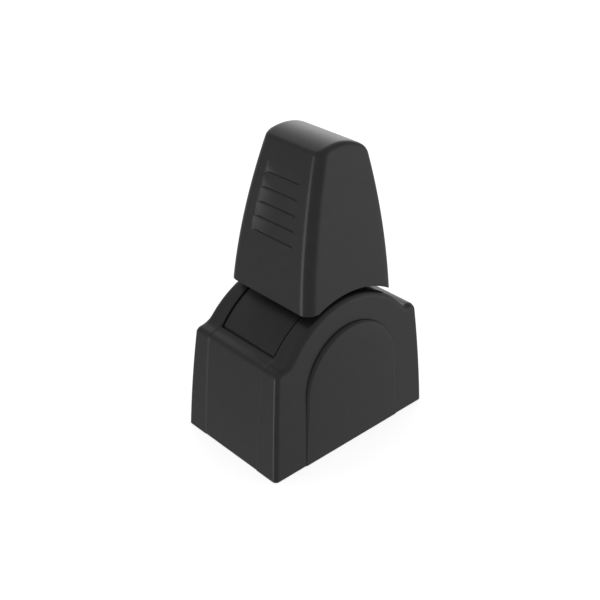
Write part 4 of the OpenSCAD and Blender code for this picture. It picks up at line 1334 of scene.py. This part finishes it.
class CONTROLLER_OT_feet(PieceOperator):
    """Builds the four rubber feet, with rounded rims and rings"""

    bl_idname = "controller.feet"
    bl_label = "Rubber feet"

    def build(self, context):
        found = islands("feet")
        radius, height = found[0][1].x, 2 * found[0][1].z
        soft = 0.25 * MM
        ring_depth, ring_width = 0.15 * MM, 0.5 * MM
        dimple = [(0.1, ring_depth), (0.25, ring_depth), (0.32, 0)]
        profile = [(radius * share, depth) for share, depth in dimple]
        for share in (0.5, 0.72):
            middle = radius * share
            profile += [(middle - ring_width, 0), (middle - ring_width / 2, ring_depth)]
            profile += [(middle, ring_depth), (middle + ring_width / 2, 0)]
        profile += [
            (radius - soft * (1 - math.sin(t)), soft * (1 - math.cos(t)))
            for t in np.linspace(0, math.pi / 2, 5)
        ]
        profile += [(radius, height), (radius * 0.5, height)]
        mesh = lathe("foot", profile, steps=48)
        spots = [middle - Vector((0, 0, height / 2)) for middle, _ in found]
        count = len(spots)
        piece = repeated(
            "feet_moulded", mesh, spots, [(0, 0, 0)] * count, [(1, 1, 1)] * count,
            finish_of("rubber"),
        )
        finished(piece, "feet_moulded", "base", "rubber", finish_of("rubber"), "feet")


class CONTROLLER_OT_frame_finishes(PieceOperator):
    """Gives every frame node that stays in view its finish"""

    bl_idname = "controller.frame_finishes"
    bl_label = "Frame finishes"

    def build(self, context):
        for row in frame["record"]["subparts"]:
            node = frame["nodes"][row["node"]]
            node.data.materials.clear()
            node.data.materials.append(finish_of(row["material_slot"]))


class CONTROLLER_OT_studio(PieceOperator):
    """Builds the pale floor, the soft studio light and the camera"""

    bl_idname = "controller.studio"
    bl_label = "Studio"

    def build(self, context):
        studio = sizes(context, "studio")
        scene = context.scene
        scene.view_settings.view_transform = "Standard"
        self.floor(studio, sizes(context, "colours").floor)
        self.world(scene)
        self.camera(scene, studio)

    def floor(self, studio, floor_colour):
        """A pale round floor that mirrors and bounced light don't see."""
        material, _, shader, _ = new_finish("Pale seamless floor", floor_colour, 0.9)
        shader.inputs["Specular IOR Level"].default_value = 0.0
        shader.inputs["Emission Color"].default_value = (1, 1, 1, 1)
        shader.inputs["Emission Strength"].default_value = FLOOR_GLOW
        corners = 96
        turn = np.linspace(0, 2 * math.pi, corners, endpoint=False)
        radius = studio.floor_radius
        rim = [(radius * math.cos(t), radius * math.sin(t), 0) for t in turn]
        mesh = bpy.data.meshes.new("floor")
        mesh.from_pydata(rim, [], [range(corners)])
        mesh.materials.append(material)
        floor = placed(mesh)
        floor.visible_glossy = False
        floor.visible_diffuse = False

    def world(self, scene):
        """A dim even room with soft panels. The camera itself sees plain white."""
        world = bpy.data.worlds.new("Studio")
        world.use_nodes = True
        scene.world = world
        tree = world.node_tree
        tree.nodes.clear()
        place = add_node(tree, "ShaderNodeTexCoord").outputs["Generated"]
        level = add_node(tree, "ShaderNodeValue").outputs[0]
        level.default_value = ROOM_LEVEL
        for azimuth, elevation, half_angle, strength in PANELS:
            a, e = math.radians(azimuth), math.radians(elevation)
            centre = (math.cos(a) * math.cos(e), math.sin(a) * math.cos(e), math.sin(e))
            facing = add_node(
                tree, "ShaderNodeVectorMath", {1: centre}, {0: place}, operation="DOT_PRODUCT"
            ).outputs["Value"]
            sharpness = 1 / (1 - math.cos(math.radians(half_angle)))
            away = add_node(
                tree, "ShaderNodeMath", {1: sharpness, 2: -sharpness}, {0: facing},
                operation="MULTIPLY_ADD",
            ).outputs[0]
            glow = add_node(tree, "ShaderNodeMath", None, {0: away}, operation="EXPONENT")
            level = add_node(
                tree, "ShaderNodeMath", {1: strength}, {0: glow.outputs[0], 2: level},
                operation="MULTIPLY_ADD",
            ).outputs[0]
        room = add_node(tree, "ShaderNodeBackground", links={"Strength": level})
        plain = add_node(tree, "ShaderNodeBackground", {"Color": (1, 1, 1, 1), "Strength": 1.0})
        seen = add_node(tree, "ShaderNodeLightPath").outputs["Is Camera Ray"]
        room.inputs["Color"].default_value = (1, 1, 1, 1)
        both = add_node(
            tree, "ShaderNodeMixShader",
            links={0: seen, 1: room.outputs[0], 2: plain.outputs[0]},
        )
        add_node(tree, "ShaderNodeOutputWorld", links={"Surface": both.outputs[0]})

    def camera(self, scene, studio):
        """A camera that looks along the studio's azimuth and elevation."""
        a, e = studio.azimuth, studio.elevation
        back = Vector((math.sin(a) * math.cos(e), -math.cos(a) * math.cos(e), math.sin(e)))
        right = Vector((math.cos(a), math.sin(a), 0))
        camera = bpy.data.objects.new("camera", bpy.data.cameras.new("camera"))
        scene.collection.objects.link(camera)
        camera.data.lens = studio.lens
        camera.data.clip_start = studio.distance / 100
        camera.data.clip_end = studio.floor_radius * 3
        camera.location = (
            back * studio.distance + right * studio.aim_right + back.cross(right) * studio.aim_up
        )
        camera.rotation_euler = (-back).to_track_quat("-Z", "Y").to_euler()
        scene.camera = camera


class CONTROLLER_PT_panel(bpy.types.Panel):
    """Lists the operators that build the controller"""

    bl_idname = "CONTROLLER_PT_panel"
    bl_label = "Lever Controller"
    bl_space_type = "VIEW_3D"
    bl_region_type = "UI"
    bl_category = "Controller"

    def draw(self, context):
        for operator in OPERATORS:
            self.layout.operator(operator.bl_idname)


OPERATORS = (
    CONTROLLER_OT_studio,
    CONTROLLER_OT_frame_finishes,
    CONTROLLER_OT_housing,
    CONTROLLER_OT_side_covers,
    CONTROLLER_OT_shutter,
    CONTROLLER_OT_grip,
    CONTROLLER_OT_screws,
    CONTROLLER_OT_feet,
)
CLASSES = (*GROUPS.values(), *OPERATORS, CONTROLLER_PT_panel)


def register():
    """Registers the classes, and gives the scene its property groups."""
    for cls in CLASSES:
        bpy.utils.register_class(cls)
    for name, group in GROUPS.items():
        pointer = bpy.props.PointerProperty(type=group)
        setattr(bpy.types.Scene, "controller_" + name, pointer)


def unregister():
    """Takes the property groups and the classes away again."""
    for name in GROUPS:
        delattr(bpy.types.Scene, "controller_" + name)
    for cls in reversed(CLASSES):
        bpy.utils.unregister_class(cls)


def main():
    """Builds everything in order."""
    register()
    for operator in OPERATORS:
        group, name = operator.bl_idname.split(".")
        getattr(getattr(bpy.ops, group), name)()


if __name__ == "__main__":
    main()
